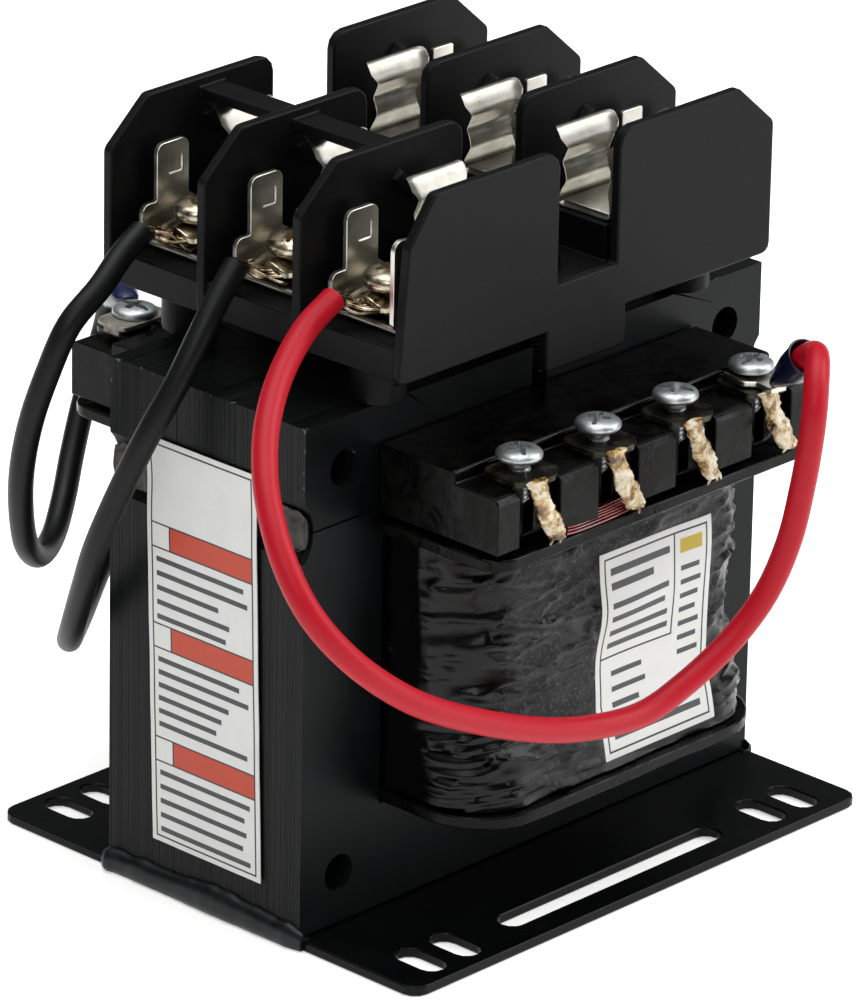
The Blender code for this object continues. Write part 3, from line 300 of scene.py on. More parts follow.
@cache
def block_moulding():
    """Glass-filled thermoset, moulded: nearly matt, with a fine sparkle of filler and paler rubs."""
    material, tree, place = start("block_moulding")
    grit = add(tree, "TexNoise", {"Vector": place, "Scale": per(0.5), "Detail": 4, "Roughness": 0.7})
    rubs = add(tree, "TexNoise", {"Vector": place, "Scale": per(7), "Detail": 6, "Roughness": 0.65})
    tone = add(tree, "ValToRGB", {"Fac": rubs}, [(0.3, "#070708"), (0.62, "#0B0B0C"), (0.85, "#131314")])
    specks = add(tree, "ValToRGB", {"Fac": grit}, [(0.6, 0.0), (0.74, 0.5)])
    colour = add(tree, "Mix", {0: specks, 6: tone, 7: "#2C2C2D"}, data_type="RGBA")
    return close(material, colour, (rubs, 0.36, 0.55), (grit, 0.12, 0.08), {"Specular IOR Level": 0.11})


@cache
def varnished_tape():
    """Cotton tape pulled tight and varnished: mottled black cloth, dark and glossy in soaked patches, darker
    and glossier towards the bottom, and darkened by painted shade at the left corner.
    """
    material, tree, place = start("varnished_tape")
    lint = add(tree, "TexNoise", {"Vector": place, "Scale": per(0.55), "Detail": 5, "Roughness": 0.75})
    dry = add(tree, "ValToRGB", {"Fac": lint}, [(0.42, "#030303"), (0.53, "#0A0A0B"), (0.65, "#44474A")])
    # This dark colour serves both the varnish-soaked patches and the painted shade at the left corner
    wet_and_shaded = add(tree, "ValToRGB", {"Fac": lint}, [(0.35, "#010101"), (0.75, "#070706")])
    low = corners("coil_wrap")[0]
    at = add(tree, "SeparateXYZ", {"Vector": place})
    # Painted shade: the tape darkens towards its left corner, where the core's left leg shades it
    edge = add(tree, "MapRange", {"Value": at.outputs["X"], "From Min": (low.x + 3) * MM,
                                  "From Max": (low.x + 12) * MM, "To Min": 0.3, "To Max": 0.0})
    # Darker and glossier towards the bottom
    foot = add(tree, "MapRange", {"Value": at.outputs["Z"], "From Min": (low.z + 2) * MM,
                                  "From Max": (low.z + 14) * MM, "To Min": 0.14, "To Max": 0.0})
    corner_shade_and_foot = add(tree, "Math", {0: edge, 1: foot}, operation="ADD")
    soaked = add(tree, "TexNoise", {"Vector": place, "Scale": per(8), "Detail": 5, "Roughness": 0.6})
    drier_and_unshaded = add(tree, "Math", {0: soaked, 1: corner_shade_and_foot}, operation="SUBTRACT")
    share = add(tree, "ValToRGB", {"Fac": drier_and_unshaded}, [(0.36, 1.0), (0.47, 0.0)])
    colour = add(tree, "Mix", {0: share, 6: dry, 7: wet_and_shaded}, data_type="RGBA")
    return close(material, colour, (drier_and_unshaded, 0.14, 0.5, 0.35, 0.55), (lint, 0.3, 0.15),
                 {"Specular IOR Level": 0.22})


@cache
def tinned_clip():
    """Spring bronze, tin plated: soft bright metal with warm clouds and faint drawing lines."""
    material, tree, place = start("tinned_clip")
    clouds = add(tree, "TexNoise", {"Vector": place, "Scale": per(3), "Detail": 4, "Roughness": 0.55})
    lines = add(tree, "Mapping", {"Vector": place, "Scale": (0.15, 1.0, 2.0)})
    drawn = add(tree, "TexNoise", {"Vector": lines, "Scale": per(0.5), "Detail": 3})
    tone = add(tree, "ValToRGB", {"Fac": clouds}, [(0.3, "#B7B5AA"), (0.6, "#D0CEC6"), (0.8, "#E4E2DC")])
    return close(material, tone, (clouds, 0.24, 0.36), (drawn, 0.14, 0.06), {"Metallic": 1.0})


@cache
def lead_plastic(name, base, rubbed):
    """Soft PVC, extruded: an even satin skin with small pale scuffs where it was handled."""
    material, tree, place = start(name)
    skin = add(tree, "TexNoise", {"Vector": place, "Scale": per(6), "Detail": 3})
    lines = add(tree, "Mapping", {"Vector": place, "Rotation": (0.4, 0.7, 0.3), "Scale": (1.0, 0.25, 1.0)})
    scuffs = add(tree, "TexNoise", {"Vector": lines, "Scale": per(1.3), "Detail": 6, "Roughness": 0.75})
    marks = add(tree, "ValToRGB", {"Fac": scuffs}, [(0.66, 0.0), (0.74, 0.45)])
    colour = add(tree, "Mix", {0: marks, 6: base, 7: rubbed}, data_type="RGBA")
    return close(material, colour, (skin, 0.36, 0.5), (skin, 0.06, 0.2), {"Specular IOR Level": 0.2})


@cache
def label_ink(name, base):
    """Vinyl label stock and its inks, printed flat: satin, with a trace of handling grime."""
    material, tree, place = start(name)
    grime = add(tree, "TexNoise", {"Vector": place, "Scale": per(5), "Detail": 6, "Roughness": 0.7})
    shade = add(tree, "ValToRGB", {"Fac": grime}, [(0.25, 0.93), (0.6, 1.0)])
    colour = add(tree, "Mix", {0: 1.0, 6: base, 7: shade}, data_type="RGBA", blend_type="MULTIPLY")
    return close(material, colour, None, (grime, 0.08, 0.2), {"Roughness": 0.42, "Specular IOR Level": 0.4})


@cache
def corners(node):
    """A node's lowest and highest corner in millimetres."""
    low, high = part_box(node)
    return Vector(low) / MM, Vector(high) / MM


def frame_size(node):
    """A node's three sides in millimetres."""
    low, high = corners(node)
    return high - low


def middle(node):
    """The middle of a node's box in millimetres."""
    return sum(corners(node), Vector()) / 2


def limited(value):
    """A share held between none and all."""
    return min(1.0, max(0.0, value))


def form_of(node):
    """A node's solid in millimetres, with its flat faces whole again."""
    form = bmesh.new()
    form.from_mesh(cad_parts[node].data)
    bmesh.ops.scale(form, verts=form.verts, vec=Vector((1, 1, 1)) / MM)
    bmesh.ops.remove_doubles(form, verts=form.verts, dist=0.002)
    bmesh.ops.dissolve_limit(form, angle_limit=math.radians(1), verts=form.verts, edges=form.edges)
    return form


def mesh_of(name, form, scale=MM):
    """A mesh in metres of a form in millimetres."""
    bmesh.ops.scale(form, verts=form.verts, vec=Vector((scale, scale, scale)))
    mesh = bpy.data.meshes.new(name)
    form.to_mesh(mesh)
    form.free()
    return mesh


def place_piece(name, mesh, finishes, stands_for=(), smooth=35, ease=0.0):
    """Makes a mesh a piece of the part; ease rounds its edges by so many millimetres."""
    piece = bpy.data.objects.new(name, mesh)
    bpy.context.scene.collection.objects.link(piece)
    if not mesh.materials:
        for material in finishes:
            mesh.materials.append(material)
    mesh.shade_smooth()
    mesh.set_sharp_from_angle(angle=math.radians(smooth))
    if ease:
        bevel = piece.modifiers.new("Eased edges", "BEVEL")
        bevel.width = ease * MM
        bevel.segments = 2
        bevel.limit_method = "ANGLE"
        bevel.angle_limit = math.radians(smooth)
        bevel.use_clamp_overlap = False
        piece.modifiers.new("Flat faces", "WEIGHTED_NORMAL").keep_sharp = True
    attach(piece, BODY)
    if stands_for:
        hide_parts(*stands_for)
    return piece


def eased(node, material, width, smooth=40):
    """A node with its edges rounded as its mould or die leaves them."""
    mesh = mesh_of(node, form_of(node))
    return place_piece(f"{node}_finished", mesh, [material], [node], smooth, width)


def loft(rings, form=None, closed=True, paint=0):
    """A skin over rings of equally many points, capped at both ends."""
    form = form or bmesh.new()
    rows = [[form.verts.new(point) for point in ring] for ring in rings]
    faces = []
    for lower, upper in zip(rows, rows[1:]):
        for i in range(len(lower)):
            faces.append(form.faces.new((lower[i - 1], lower[i], upper[i], upper[i - 1])))
    if closed:
        faces += [form.faces.new(rows[0]), form.faces.new(rows[-1])]
    bmesh.ops.recalc_face_normals(form, faces=faces)
    for face in faces:
        face.material_index = paint
    return form


def ring(radius, height, count):
    """Points round the Z axis, anticlockwise from +X."""
    angles = [2 * math.pi * i / count for i in range(count)]
    return [Vector((radius * math.cos(a), radius * math.sin(a), height)) for a in angles]


def turned(profile, count):
    """A round form on the Z axis from its (radius, height) profile."""
    return loft([ring(radius, height, count) for radius, height in profile])


def curve_through(points, steps):
    """A smooth curve through the points, with so many steps between each two."""
    given = [Vector(p) for p in points]
    given = [2 * given[0] - given[1], *given, 2 * given[-1] - given[-2]]
    line = []
    for a, b, c, d in zip(given, given[1:], given[2:], given[3:]):
        for step in range(steps):
            t = step / steps
            line.append(0.5 * (2 * b + (c - a) * t + (2 * a - 5 * b + 4 * c - d) * t ** 2
                               + (3 * b - a - 3 * c + d) * t ** 3))
    return [*line, given[-2]]


def rounded(outline, steps=6):
    """An outline whose (x, y, radius) corners are turned into arcs."""
    points = []
    for i, (x, y, radius) in enumerate(outline):
        here = Vector((x, y))
        before = (Vector(outline[i - 1][:2]) - here).normalized()
        after = (Vector(outline[(i + 1) % len(outline)][:2]) - here).normalized()
        if radius <= 0:
            points.append(here)
            continue
        half = before.angle(after) / 2
        centre = here + (before + after).normalized() * radius / math.sin(half)
        first = here + before * radius / math.tan(half) - centre
        last = here + after * radius / math.tan(half) - centre
        sweep = first.angle_signed(last)
        points += [centre + Matrix.Rotation(-sweep * step / steps, 2) @ first for step in range(steps + 1)]
    return points


def plate(outline, low, high, axis="Z", form=None, paint=0):
    """A flat form with this outline, pushed from low to high along an axis."""
    order = {"X": (2, 0, 1), "Y": (0, 2, 1), "Z": (0, 1, 2)}[axis]
    rings = [[Vector([(u, v, w)[i] for i in order]) for u, v in outline] for w in (low, high)]
    return loft(rings, form, True, paint)


def oblong(x0, y0, x1, y1, radius, steps=3):
    """A rectangle's outline with equal round corners."""
    return rounded([(x0, y0, radius), (x1, y0, radius), (x1, y1, radius), (x0, y1, radius)], steps)


def carve(mesh, cutters):
    """A mesh less its cutters."""
    def stand(name, mesh):
        solid = bpy.data.objects.new(name, mesh)
        bpy.context.scene.collection.objects.link(solid)
        return solid
    body = stand("body", mesh)
    tools = [stand("tool", mesh_of("tool", form)) for form in cutters]
    for tool in tools:
        for material in mesh.materials:
            tool.data.materials.append(material)
        change = body.modifiers.new("Cut", "BOOLEAN")
        change.operation = "DIFFERENCE"
        change.solver = "EXACT"
        change.object = tool
    result = bpy.data.meshes.new_from_object(body.evaluated_get(bpy.context.evaluated_depsgraph_get()))
    for solid in (body, *tools):
        bpy.data.objects.remove(solid, do_unlink=True)
    return result


def wires(name, lines, diameter, material, roundness=2):
    """One or several round wires in one piece, each along its own line in millimetres."""
    curve = bpy.data.curves.new(name, "CURVE")
    curve.dimensions = "3D"
    curve.bevel_depth = diameter / 2 * MM
    curve.bevel_resolution = roundness
    curve.use_fill_caps = True
    for line in lines:
        spline = curve.splines.new("POLY")
        spline.points.add(len(line) - 1)
        for point, at in zip(spline.points, line):
            point.co = (*(at * MM), 1.0)
        spline.use_smooth = True
    curve.materials.append(material)
    piece = bpy.data.objects.new(name, curve)
    bpy.context.scene.collection.objects.link(piece)
    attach(piece, BODY)
    return piece


def stripped_end(pole):
    """Where a lead's insulation ends before its terminal."""
    return Vector((-38.3, pole + 2.8, 95.4))


def strand_lines(pole, seed):
    """The bare strands, splayed from the end of the insulation to both sides of the screw."""
    chance = random.Random(seed)
    begin = stripped_end(pole)
    lines = []
    for i in range(STRANDS):
        turn = 2.4 * i
        spread = 0.85 * math.sqrt((i + 0.5) / STRANDS)
        off = Vector((0, spread * math.cos(turn), spread * math.sin(turn)))
        aside = 2 * i / (STRANDS - 1) - 1
        stray = [Vector([chance.uniform(-0.5, 0.5) for _ in range(3)]) for _ in range(4)]
        points = [begin + off + Vector((-0.6, 0, 0.3)), begin + off * 1.2 + Vector((1.5, 0.1, -0.7)),
                  Vector((-35.2, pole + 2.5 + 2.3 * aside, 93.9 + 0.5 * math.sin(turn))) + stray[0],
                  Vector((-33.4, pole + 1.4 + 3.4 * aside, 93.5 + 0.6 * math.cos(turn))) + stray[1] * 1.3,
                  Vector((-31.0, pole + 0.9 + 3.9 * aside, 93.2)) + stray[2],
                  Vector((-27.0, pole + 0.6 + 3.6 * aside, 93.0)) + stray[3] * 0.6]
        lines.append(curve_through(points, 5))
    return lines


def fork_seat(lead, height):
    """The way a fork's barrel points, the way its tongue does, and where they meet at this height."""
    along = Vector(lead["direction"]).normalized()
    outward = Vector((along.x, along.y, 0)).normalized()
    screw = middle(lead["screw"])
    root = Vector((screw.x, screw.y, height)) + outward * FORK_REACH + Vector((0, 0, FORK_RISE))
    return along, outward, root


def fork_piece(lead, sleeve):
    """A crimped fork: a tinned tongue under the screw and a blue funnel that takes the lead."""
    name = lead["name"] + "_fork"
    low = corners(name)[0].z if lead["direction"][2] > 0 else corners("front_lug_4")[1].z + 0.3
    along, outward, root = fork_seat(lead, low)
    form = turned([(0.5, -0.5), (1.15, 0.2), (1.5, 1.0), (1.75, 2.0), (2.2, 3.6), (2.5, 5.2), (2.62, 7.0),
                   (2.7, 8.3), (2.86, 8.8), (2.84, 9.05), (2.7, 9.12), (2.5, 9.0), (2.35, 8.4), (2.15, 6.0),
                   (1.95, 4.3)], BARREL_SIDES)
    for vertex in form.verts:
        flat = 1 - 0.32 * max(0.0, 1 - vertex.co.z / 4.5)
        vertex.co.x *= flat
        vertex.co.y *= 2 - flat
    lie = along.to_track_quat("Z", "X").to_matrix().to_4x4()
    bmesh.ops.transform(form, matrix=Matrix.Translation(root) @ lie, verts=form.verts)
    prong = [(FORK_REACH + 0.4, 1.28, 0), (3.6, 1.6, 0.8), (2.4, 3.4, 1.6), (-3.2, 3.4, 1.6),
             (-3.2, 2.1, 0.5), (2.0, 2.1, 1.9)]
    outline = [*prong, *[(x, -y, radius) for x, y, radius in reversed(prong)]]
    screw = middle(lead["screw"])
    spin = Matrix.Rotation(math.atan2(outward.y, outward.x), 4, "Z")
    tongue = plate(rounded(outline, 4), 0.0, SHEET)
    bmesh.ops.transform(tongue, matrix=Matrix.Translation((screw.x, screw.y, low)) @ spin, verts=tongue.verts)
    for face in tongue.faces:
        face.material_index = 1
    form.from_mesh(mesh_of("tongue", tongue, 1.0))
    return place_piece(f"{name}_finished", mesh_of(name, form), [sleeve, tinned_clip()],
                       [name], 40, 0.08)


def lead_line(lead):
    """The insulated lead's middle line, from its stripped end to inside the fork."""
    along, _, root = fork_seat(lead, corners("front_lug_4")[1].z + 0.3)
    mouths = [root + along * (BARREL_LENGTH - inward) for inward in (0.0, 2.0, 4.0)]
    return curve_through([stripped_end(POLES[lead["pole"]]), *lead["route"], *mouths], 6)


def length_setting(name, description, size, least, most):
    """A length that a user may set, given in millimetres."""
    return FloatProperty(name=name, description=description, default=size * MM, min=least * MM, max=most * MM,
                         precision=5, subtype="DISTANCE", unit="LENGTH")


def colour_setting(name, description, code):
    """A colour that a user may set."""
    return FloatVectorProperty(name=name, description=description, default=linear(code)[:3], min=0, max=1,
                               subtype="COLOR")


class TransformerSettings(bpy.types.PropertyGroup):
    """Sizes and colours that a user may want to change."""
    lead_diameter: length_setting("Lead diameter", "Over the insulation", 3.7, 1, 6)
    block_ease: length_setting("Block edge radius", "Rounding of the fuse block's edges", 0.28, 0, 0.5)
    wrinkle: length_setting("Tape wrinkles", "How deep the folds of the coil's tape are", 0.36, 0, 1)
    seed: IntProperty(name="Seed", description="Picks the wander of sheets, strands and solder", default=7)
    red: colour_setting("Red lead", "Colour of the front lead", "#A80E20")
    black: colour_setting("Black leads", "Colour of the two other leads", "#0A0B0C")
    band: colour_setting("Label bands", "Colour of the side label's bands", "#B23A1F")
    paper: colour_setting("Label stock", "Colour of both labels' ground", "#D0D0CE")
    floor: colour_setting("Floor", "Colour of the studio floor", "#F2F2F0")


class TRANSFORMER_OT_camera(bpy.types.Operator):
    """Sets the camera at the photograph's view"""
    bl_idname = "transformer.camera"
    bl_label = "Camera"

    def execute(self, context):
        lens = bpy.data.cameras.new("camera")
        lens.lens = CAMERA_LENS
        lens.sensor_width = 36.0
        lens.clip_start = 0.05
        lens.clip_end = 50.0
        camera = bpy.data.objects.new("camera", lens)
        context.scene.collection.objects.link(camera)
        turn = Matrix.Rotation(math.radians(CAMERA_TURN), 4, "Z")
        fall = Matrix.Rotation(math.radians(90 - CAMERA_FALL), 4, "X")
        roll = Matrix.Rotation(math.radians(CAMERA_ROLL), 4, "Z")
        camera.matrix_world = Matrix.Translation(CAMERA_PLACE) @ turn @ fall @ roll
        context.scene.camera = camera
        return {"FINISHED"}


class TRANSFORMER_OT_leads(bpy.types.Operator):
    """Makes the three leads with their strands and crimped forks"""
    bl_idname = "transformer.leads"
    bl_label = "Leads"

    def execute(self, context):
        settings = context.scene.transformer
        red = lead_plastic("red_pvc", (*settings.red, 1.0), "#C8485A")
        black = lead_plastic("black_pvc", (*settings.black, 1.0), "#4A4C50")
        for lead in LEADS:
            name, pole = lead["name"], POLES[lead["pole"]]
            plastic, slot, sleeve = ((red, "red_insulation", "navy_nylon") if name == "red_lead"
                                     else (black, "black_insulation", "blue_nylon"))
            line = lead_line(lead)
            insulation = wires(f"{name}_insulation", [line], settings.lead_diameter / MM, plastic, 8)
            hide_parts(name)
            fork = fork_piece(lead, finish(sleeve))
            strands = wires(f"{name}_strands", strand_lines(pole, settings.seed + lead["pole"]), STRAND,
                            finish("copper_strands"))
        return {"FINISHED"}


def sheet_stack(node, count, seed):
    """A stack of thin sheets, each cut to the node's front outline and a little out of line."""
    chance = random.Random(seed)
    patch = form_of(node)
    low, high = corners(node)
    bmesh.ops.triangulate(patch, faces=patch.faces)
    back = [face for face in patch.faces
            if face.normal.y > -0.99 or face.calc_center_median().y > low.y + 0.01]
    bmesh.ops.delete(patch, geom=back, context="FACES")
    patch.verts.index_update()
    flat = [(v.co.x, v.co.z) for v in patch.verts]
    faces = [[v.index for v in face.verts] for face in patch.faces]
    rim = [[loop.vert.index, loop.link_loop_next.vert.index] for face in patch.faces for loop in face.loops
           if loop.edge.is_boundary]
    patch.free()
    pitch = (high.y - low.y) / count
    stack = bmesh.new()
    for i in range(count):
        outer = i in (0, count - 1)
        aside, rise = (0.0, 0.0) if outer else (chance.uniform(-0.03, 0.03), chance.uniform(-0.03, 0.02))
        near = low.y + pitch * i
        front = [stack.verts.new((x + aside, near, z + rise)) for x, z in flat]
        rear = [stack.verts.new((x + aside, near + pitch * 0.9, z + rise)) for x, z in flat]
        for face in faces:
            stack.faces.new([front[j] for j in face])
            stack.faces.new([rear[j] for j in reversed(face)])
        for a, b in rim:
            stack.faces.new((front[b], front[a], rear[a], rear[b]))
    return stack


def fillet_form(node, hand):
    """A smooth fillet weld along the foot, with one hump and a small lump at its far end."""
    low, high = corners(node)
    core_low, core_high = corners("core_e_stack")
    face = core_high.x + 0.05
    notch = min(abs(low.x), abs(high.x))
    foot = core_low.z - 0.05
    rows = []
    for i in range(WELD_STEPS + 1):
        share = i / WELD_STEPS
        y = core_low.y - 0.8 + (core_high.y - core_low.y + 1.6) * share
        end = min(1.0, 0.45 + 9 * share, 0.45 + 14 * (1 - share))
        hump = 0.8 * math.exp(-((share - 0.42) / 0.17) ** 2)
        lump = 0.7 * math.exp(-((share - 0.97) / 0.03) ** 2)
        sway = noise.fractal(Vector((0.0, y * 0.3, hand)), 0.8, 2.0, 3)
        rise = (1.9 + hump + 0.3 * sway) * end
        out = (1.35 + 0.3 * hump + lump + 0.12 * sway) * end
        section = [(notch, 0.1), (notch, foot), (face, foot), (face, foot + rise)]
        section += [(face + out * math.sin(turn), foot - 0.3 + (rise + 0.3) * math.cos(turn))
                    for turn in (0.35, 0.7, 1.05, 1.35, math.pi / 2)]
        section += [(face + out * 0.97, 0.7), (face + out * 0.72, 0.1)]
        rows.append([Vector((hand * x, y, z)) for x, z in section])
    return loft(rows)


class TRANSFORMER_OT_core(bpy.types.Operator):
    """Makes the core of stacked sheets with its welds"""
    bl_idname = "transformer.core"
    bl_label = "Core"

    def execute(self, context):
        seed = context.scene.transformer.seed
        for i, node in enumerate(("core_e_stack", "core_i_stack")):
            stack = sheet_stack(node, CORE_SHEETS, seed + i)
            place_piece(f"{node}_sheets", mesh_of(node, stack), [varnished_sheets()],
                        [node], 30)
        for side, hand in (("left", -1), ("right", 1)):
            node = f"joint_weld_{side}"
            form = form_of(node)
            bmesh.ops.triangulate(form, faces=form.faces)
            bmesh.ops.subdivide_edges(form, edges=form.edges, cuts=2, use_grid_fill=True)
            form.normal_update()
            for vertex in form.verts:
                vertex.co += vertex.normal * 0.06 * (noise.fractal(vertex.co * 0.8, 0.9, 2.2, 3) - 0.3)
            place_piece(f"{node}_bead", mesh_of(node, form), [finish("joint_weld")],
                        [node], 75)
            node = f"base_weld_{side}"
            place_piece(f"{node}_bead", mesh_of(node, fillet_form(node, hand)), [finish("foot_weld")],
                        [node], 60)
        return {"FINISHED"}


class TRANSFORMER_OT_foot(bpy.types.Operator):
    """Makes the slotted foot plate"""
    bl_idname = "transformer.foot"
    bl_label = "Foot plate"

    def execute(self, context):
        eased("base_plate", dipped_steel(), 0.22)
        return {"FINISHED"}


def label_wave(x, z):
    """How far the coil's label and the tape under it stand out or sink, over the front face."""
    bulge = 0.75 * math.exp(-((x - 0.5) / 9.0) ** 2 - ((z - 43.5) / 4.0) ** 2)
    hollow = -0.7 * math.exp(-((x - 2.0) / 12.0) ** 2 - ((z - 35.5) / 5.0) ** 2)
    turn = 0.5 * math.exp(-((x - 19.0) / 5.0) ** 2 - ((z - 49.0) / 6.0) ** 2)
    return bulge + hollow + turn


def wrap_outline(half_x, half_y, corner, spacing):
    """Points and outward directions round a rectangle with round corners, from its front right."""
    def steps(reach):
        return max(2, round(reach / spacing))
    arc, flats = steps(corner * math.pi / 2), (steps(WRAP_DEPTH - 2 * corner), steps(2 * (half_x - corner)))
    x, y = half_x - corner, half_y - corner
    outline = []
    for quarter, (centre, there) in enumerate((((x, -y), (half_x, y)), ((x, y), (-x, half_y)),
                                               ((-x, y), (-half_x, -y)), ((-x, -y), (x, -half_y)))):
        centre, there = Vector(centre), Vector(there)
        angles = [math.pi / 2 * (quarter - 1 + i / arc) for i in range(arc + 1)]
        *turns, out = [Vector((math.cos(angle), math.sin(angle))) for angle in angles]
        outline += [(centre + turn * corner, turn) for turn in turns]
        here, count = centre + out * corner, flats[quarter % 2]
        outline += [(here.lerp(there, i / count), out) for i in range(count)]
    return outline


def wrap_reach(z):
    """The tape's front face from the middle at a height: it hangs fuller at the lower flange."""
    low, high = corners("coil_wrap")
    share = (z - low.z) / (high.z - low.z)
    swell = 0.25 + 0.5 * math.sin(math.pi * min(1.0, share * 1.1)) + 2.7 * max(0.0, 1 - share / 0.2) ** 0.6
    return high.y - 1.15 + swell


def ridge(x, y, z):
    """A sharp-crested wave of noise, from 0 in the hollows to 1 on the crests."""
    return max(0.0, 1 - 3.2 * abs(noise.noise(Vector((x, y, z)))))


def tape_folds(point, out, depth):
    """The folds of the tape at a point: layered turns low down, long pulls above, bunched corners."""
    low, high = corners("coil_wrap")
    x, y, z = point
    share = (z - low.z) / (high.z - low.z)
    corner = 1 - abs(out.y) ** 3
    lumps = noise.noise(Vector((x * 0.08, z * 0.19, y * 0.08)))
    pulls = ridge(x * 0.045 + 7, y * 0.05, z * 0.21 + x * 0.035) ** 2
    creases = ridge(x * 0.09, y * 0.09 + 3, z * 0.34 - x * 0.03) ** 3
    wander = (0.5 * math.sin(x * 0.13) + 0.4 * math.sin(y * 0.17)
              + 0.5 * noise.noise(Vector((x * 0.1, y * 0.1, z * 0.1))))
    layers = abs(math.sin(math.pi * (z + wander) / 1.6)) ** 0.7 * max(0.0, 1 - share / 0.27) ** 0.4
    pleats = ridge(x * 0.22 + y * 0.1, y * 0.22, z * 0.06 + 9) * corner
    fine = noise.fractal(Vector((x * 0.6, z * 1.2, y * 0.6)), 0.8, 2.0, 3) * 0.2
    return depth * (1.8 * lumps + 2.0 * pulls + 1.7 * creases + 2.5 * layers + 1.3 * pleats + fine - 1.3)


class TRANSFORMER_OT_coil(bpy.types.Operator):
    """Makes the coil: its form, its windings and the wrinkled tape round them"""
    bl_idname = "transformer.coil"
    bl_label = "Coil"

    def execute(self, context):
        depth = context.scene.transformer.wrinkle / MM
        eased("coil_form", finish("varnished_moulding"), 0.25)
        for node, name in (("primary_winding", "enamelled_wire"), ("secondary_winding", "enamelled_wire"),
                           ("interwinding_insulation", "kraft_paper")):
            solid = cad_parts[node]
            solid.data.materials.clear()
            solid.data.materials.append(finish(name))
        low, high = corners("coil_wrap")
        label_low, label_high = corners("coil_label")
        rows = []
        for level in range(TAPE_LEVELS + 1):
            share = level / TAPE_LEVELS
            z = low.z + (high.z - low.z) * share
            end = min(1.0, 6 * share, 6 * (1 - share))
            row = []
            for at, out in wrap_outline(high.x, wrap_reach(z), WRAP_CORNER, TAPE_SPACING):
                fold = tape_folds(Vector((*at, z)), out, depth) * (0.4 + 0.6 * end)
                if out.y < -0.7:
                    beside = max(label_low.x - at.x, at.x - label_high.x, label_low.z - z, z - label_high.z)
                    calm = limited(beside / 1.2)
                    fold = fold * calm + label_wave(at.x, z) * (1 - 0.5 * calm)
                flank = 1 - min(1.0, abs(out.y) * 3)
                row.append(Vector((*(at + out * (fold * (1 - 0.7 * flank) - 0.1 - 0.25 * flank)), z)))
            rows.append(row)
        inner = [[Vector((p.x * 0.9, p.y * 0.9, p.z)) for p in row] for row in (rows[-1], rows[0])]
        form = loft([*rows, *inner, rows[0]], closed=False)
        bmesh.ops.remove_doubles(form, verts=form.verts, dist=0.001)
        place_piece("coil_tape", mesh_of("coil_tape", form), [varnished_tape()],
                    ["coil_wrap"], 80)
        return {"FINISHED"}


def screw_form(head, rise, length):
    """A pan-head screw with its underside at zero: domed head, rolled thread, blunt point."""
    dome = [(0.62, 0.0), (0.89, 0.13), (0.99, 0.3), (1.0, 0.42), (0.99, 0.56), (0.94, 0.7), (0.85, 0.81),
            (0.7, 0.9), (0.5, 0.955), (0.25, 0.99), (0.08, 1.0)]
    form = turned([(SHANK / 2 - 0.3, -0.02), *[(head / 2 * out, rise * up) for out, up in dome]], 48)
    rows = [ring(SHANK / 2 - 0.9, -length, THREAD_SIDES)]
    rings = round((length - 0.6) / THREAD_PITCH * 8)
    for i in range(rings + 1):
        z = 0.6 - length + (length - 0.6) * i / rings
        row = []
        for j, spoke in enumerate(ring(1.0, z, THREAD_SIDES)):
            crest = max(0.0, 1 - abs((z / THREAD_PITCH - j / THREAD_SIDES) % 1.0 - 0.5) * 3.2)
            radius = SHANK / 2 - 0.38 + 0.36 * crest
            row.append(Vector((radius * spoke.x, radius * spoke.y, z)))
        rows.append(row)
    return loft(rows, form)


def screw_mesh(name, head, rise, length, finishes):
    """The screw with its combined slot and cross recess cut in, whose faces take the second finish, a painted
    shade.
    """
    r = head / 2
    mesh = mesh_of(name, screw_form(head, rise, length))
    for material in finishes:
        mesh.materials.append(material)
    corner = [(-1, -1), (1, -1), (1, 1), (-1, 1)]
    slot = oblong(-r * 0.78, -0.34, r * 0.78, 0.34, 0.3)
    # The cutters' faces take the second finish: painted shade in the recess
    cutters = [plate(slot, 0.6 * rise, rise + 1, paint=1)]
    for turn in (0, 90):
        spin = Matrix.Rotation(math.radians(turn), 3, "Z")
        rings = [[spin @ Vector((a * wide, b * deep, z)) for a, b in corner] for wide, deep, z in (
            (0.4, 0.28, 0.15 * rise), (r * 0.36, 0.42, 0.5 * rise), (r * 0.58, 0.6, rise + 0.2))]
        cutters.append(loft(rings, paint=1))
    return carve(mesh, cutters)


def set_screws(nodes, mesh, seed, drop):
    """Stands a copy of the screw in the place of each node, some a little lower, turned at random."""
    chance = random.Random(seed)
    for node in nodes:
        centre, top = middle(node), corners(node)[1].z
        copy = mesh.copy()
        spin = Matrix.Rotation(chance.uniform(0, math.pi), 4, "Z")
        seat = Vector((centre.x, centre.y, top - HEAD_HEIGHT - drop.get(node, 0.0)))
        copy.transform(Matrix.Translation(seat * MM) @ spin)
        place_piece(f"{node}_finished", copy, [], [node], 38)


class TRANSFORMER_OT_screws(bpy.types.Operator):
    """Makes every screw with its recess and thread"""
    bl_idname = "transformer.screws"
    bl_label = "Screws"

    def execute(self, context):
        seed = context.scene.transformer.seed
        # The board and block screws' second finishes paint shade into their recesses
        for kind, names, finishes, wide, rise in (
                ("board", [f"{row}_screw_{i}" for row in ("front", "rear") for i in range(1, 5)],
                 [finish("bright_zinc"), finish("grey_recess_painted_shade")], 0.94, 2.0),
                ("block", [f"block_screw_{side}_{i}" for side in ("left", "right") for i in (1, 2, 3)],
                 [finish("stained_screw"), finish("brown_recess_painted_shade")], 1.0, 3.1),
                ("mount", ["block_mount_screw_1", "block_mount_screw_2"], [dipped_steel()], 1.0, 2.3)):
            size = frame_size(names[0])
            head = max(size.x, size.y) * wide
            mesh = screw_mesh(f"{kind}_screw", head, rise, size.z - HEAD_HEIGHT, finishes)
            set_screws(names, mesh, seed, {"rear_screw_4": 1.3})
        return {"FINISHED"}


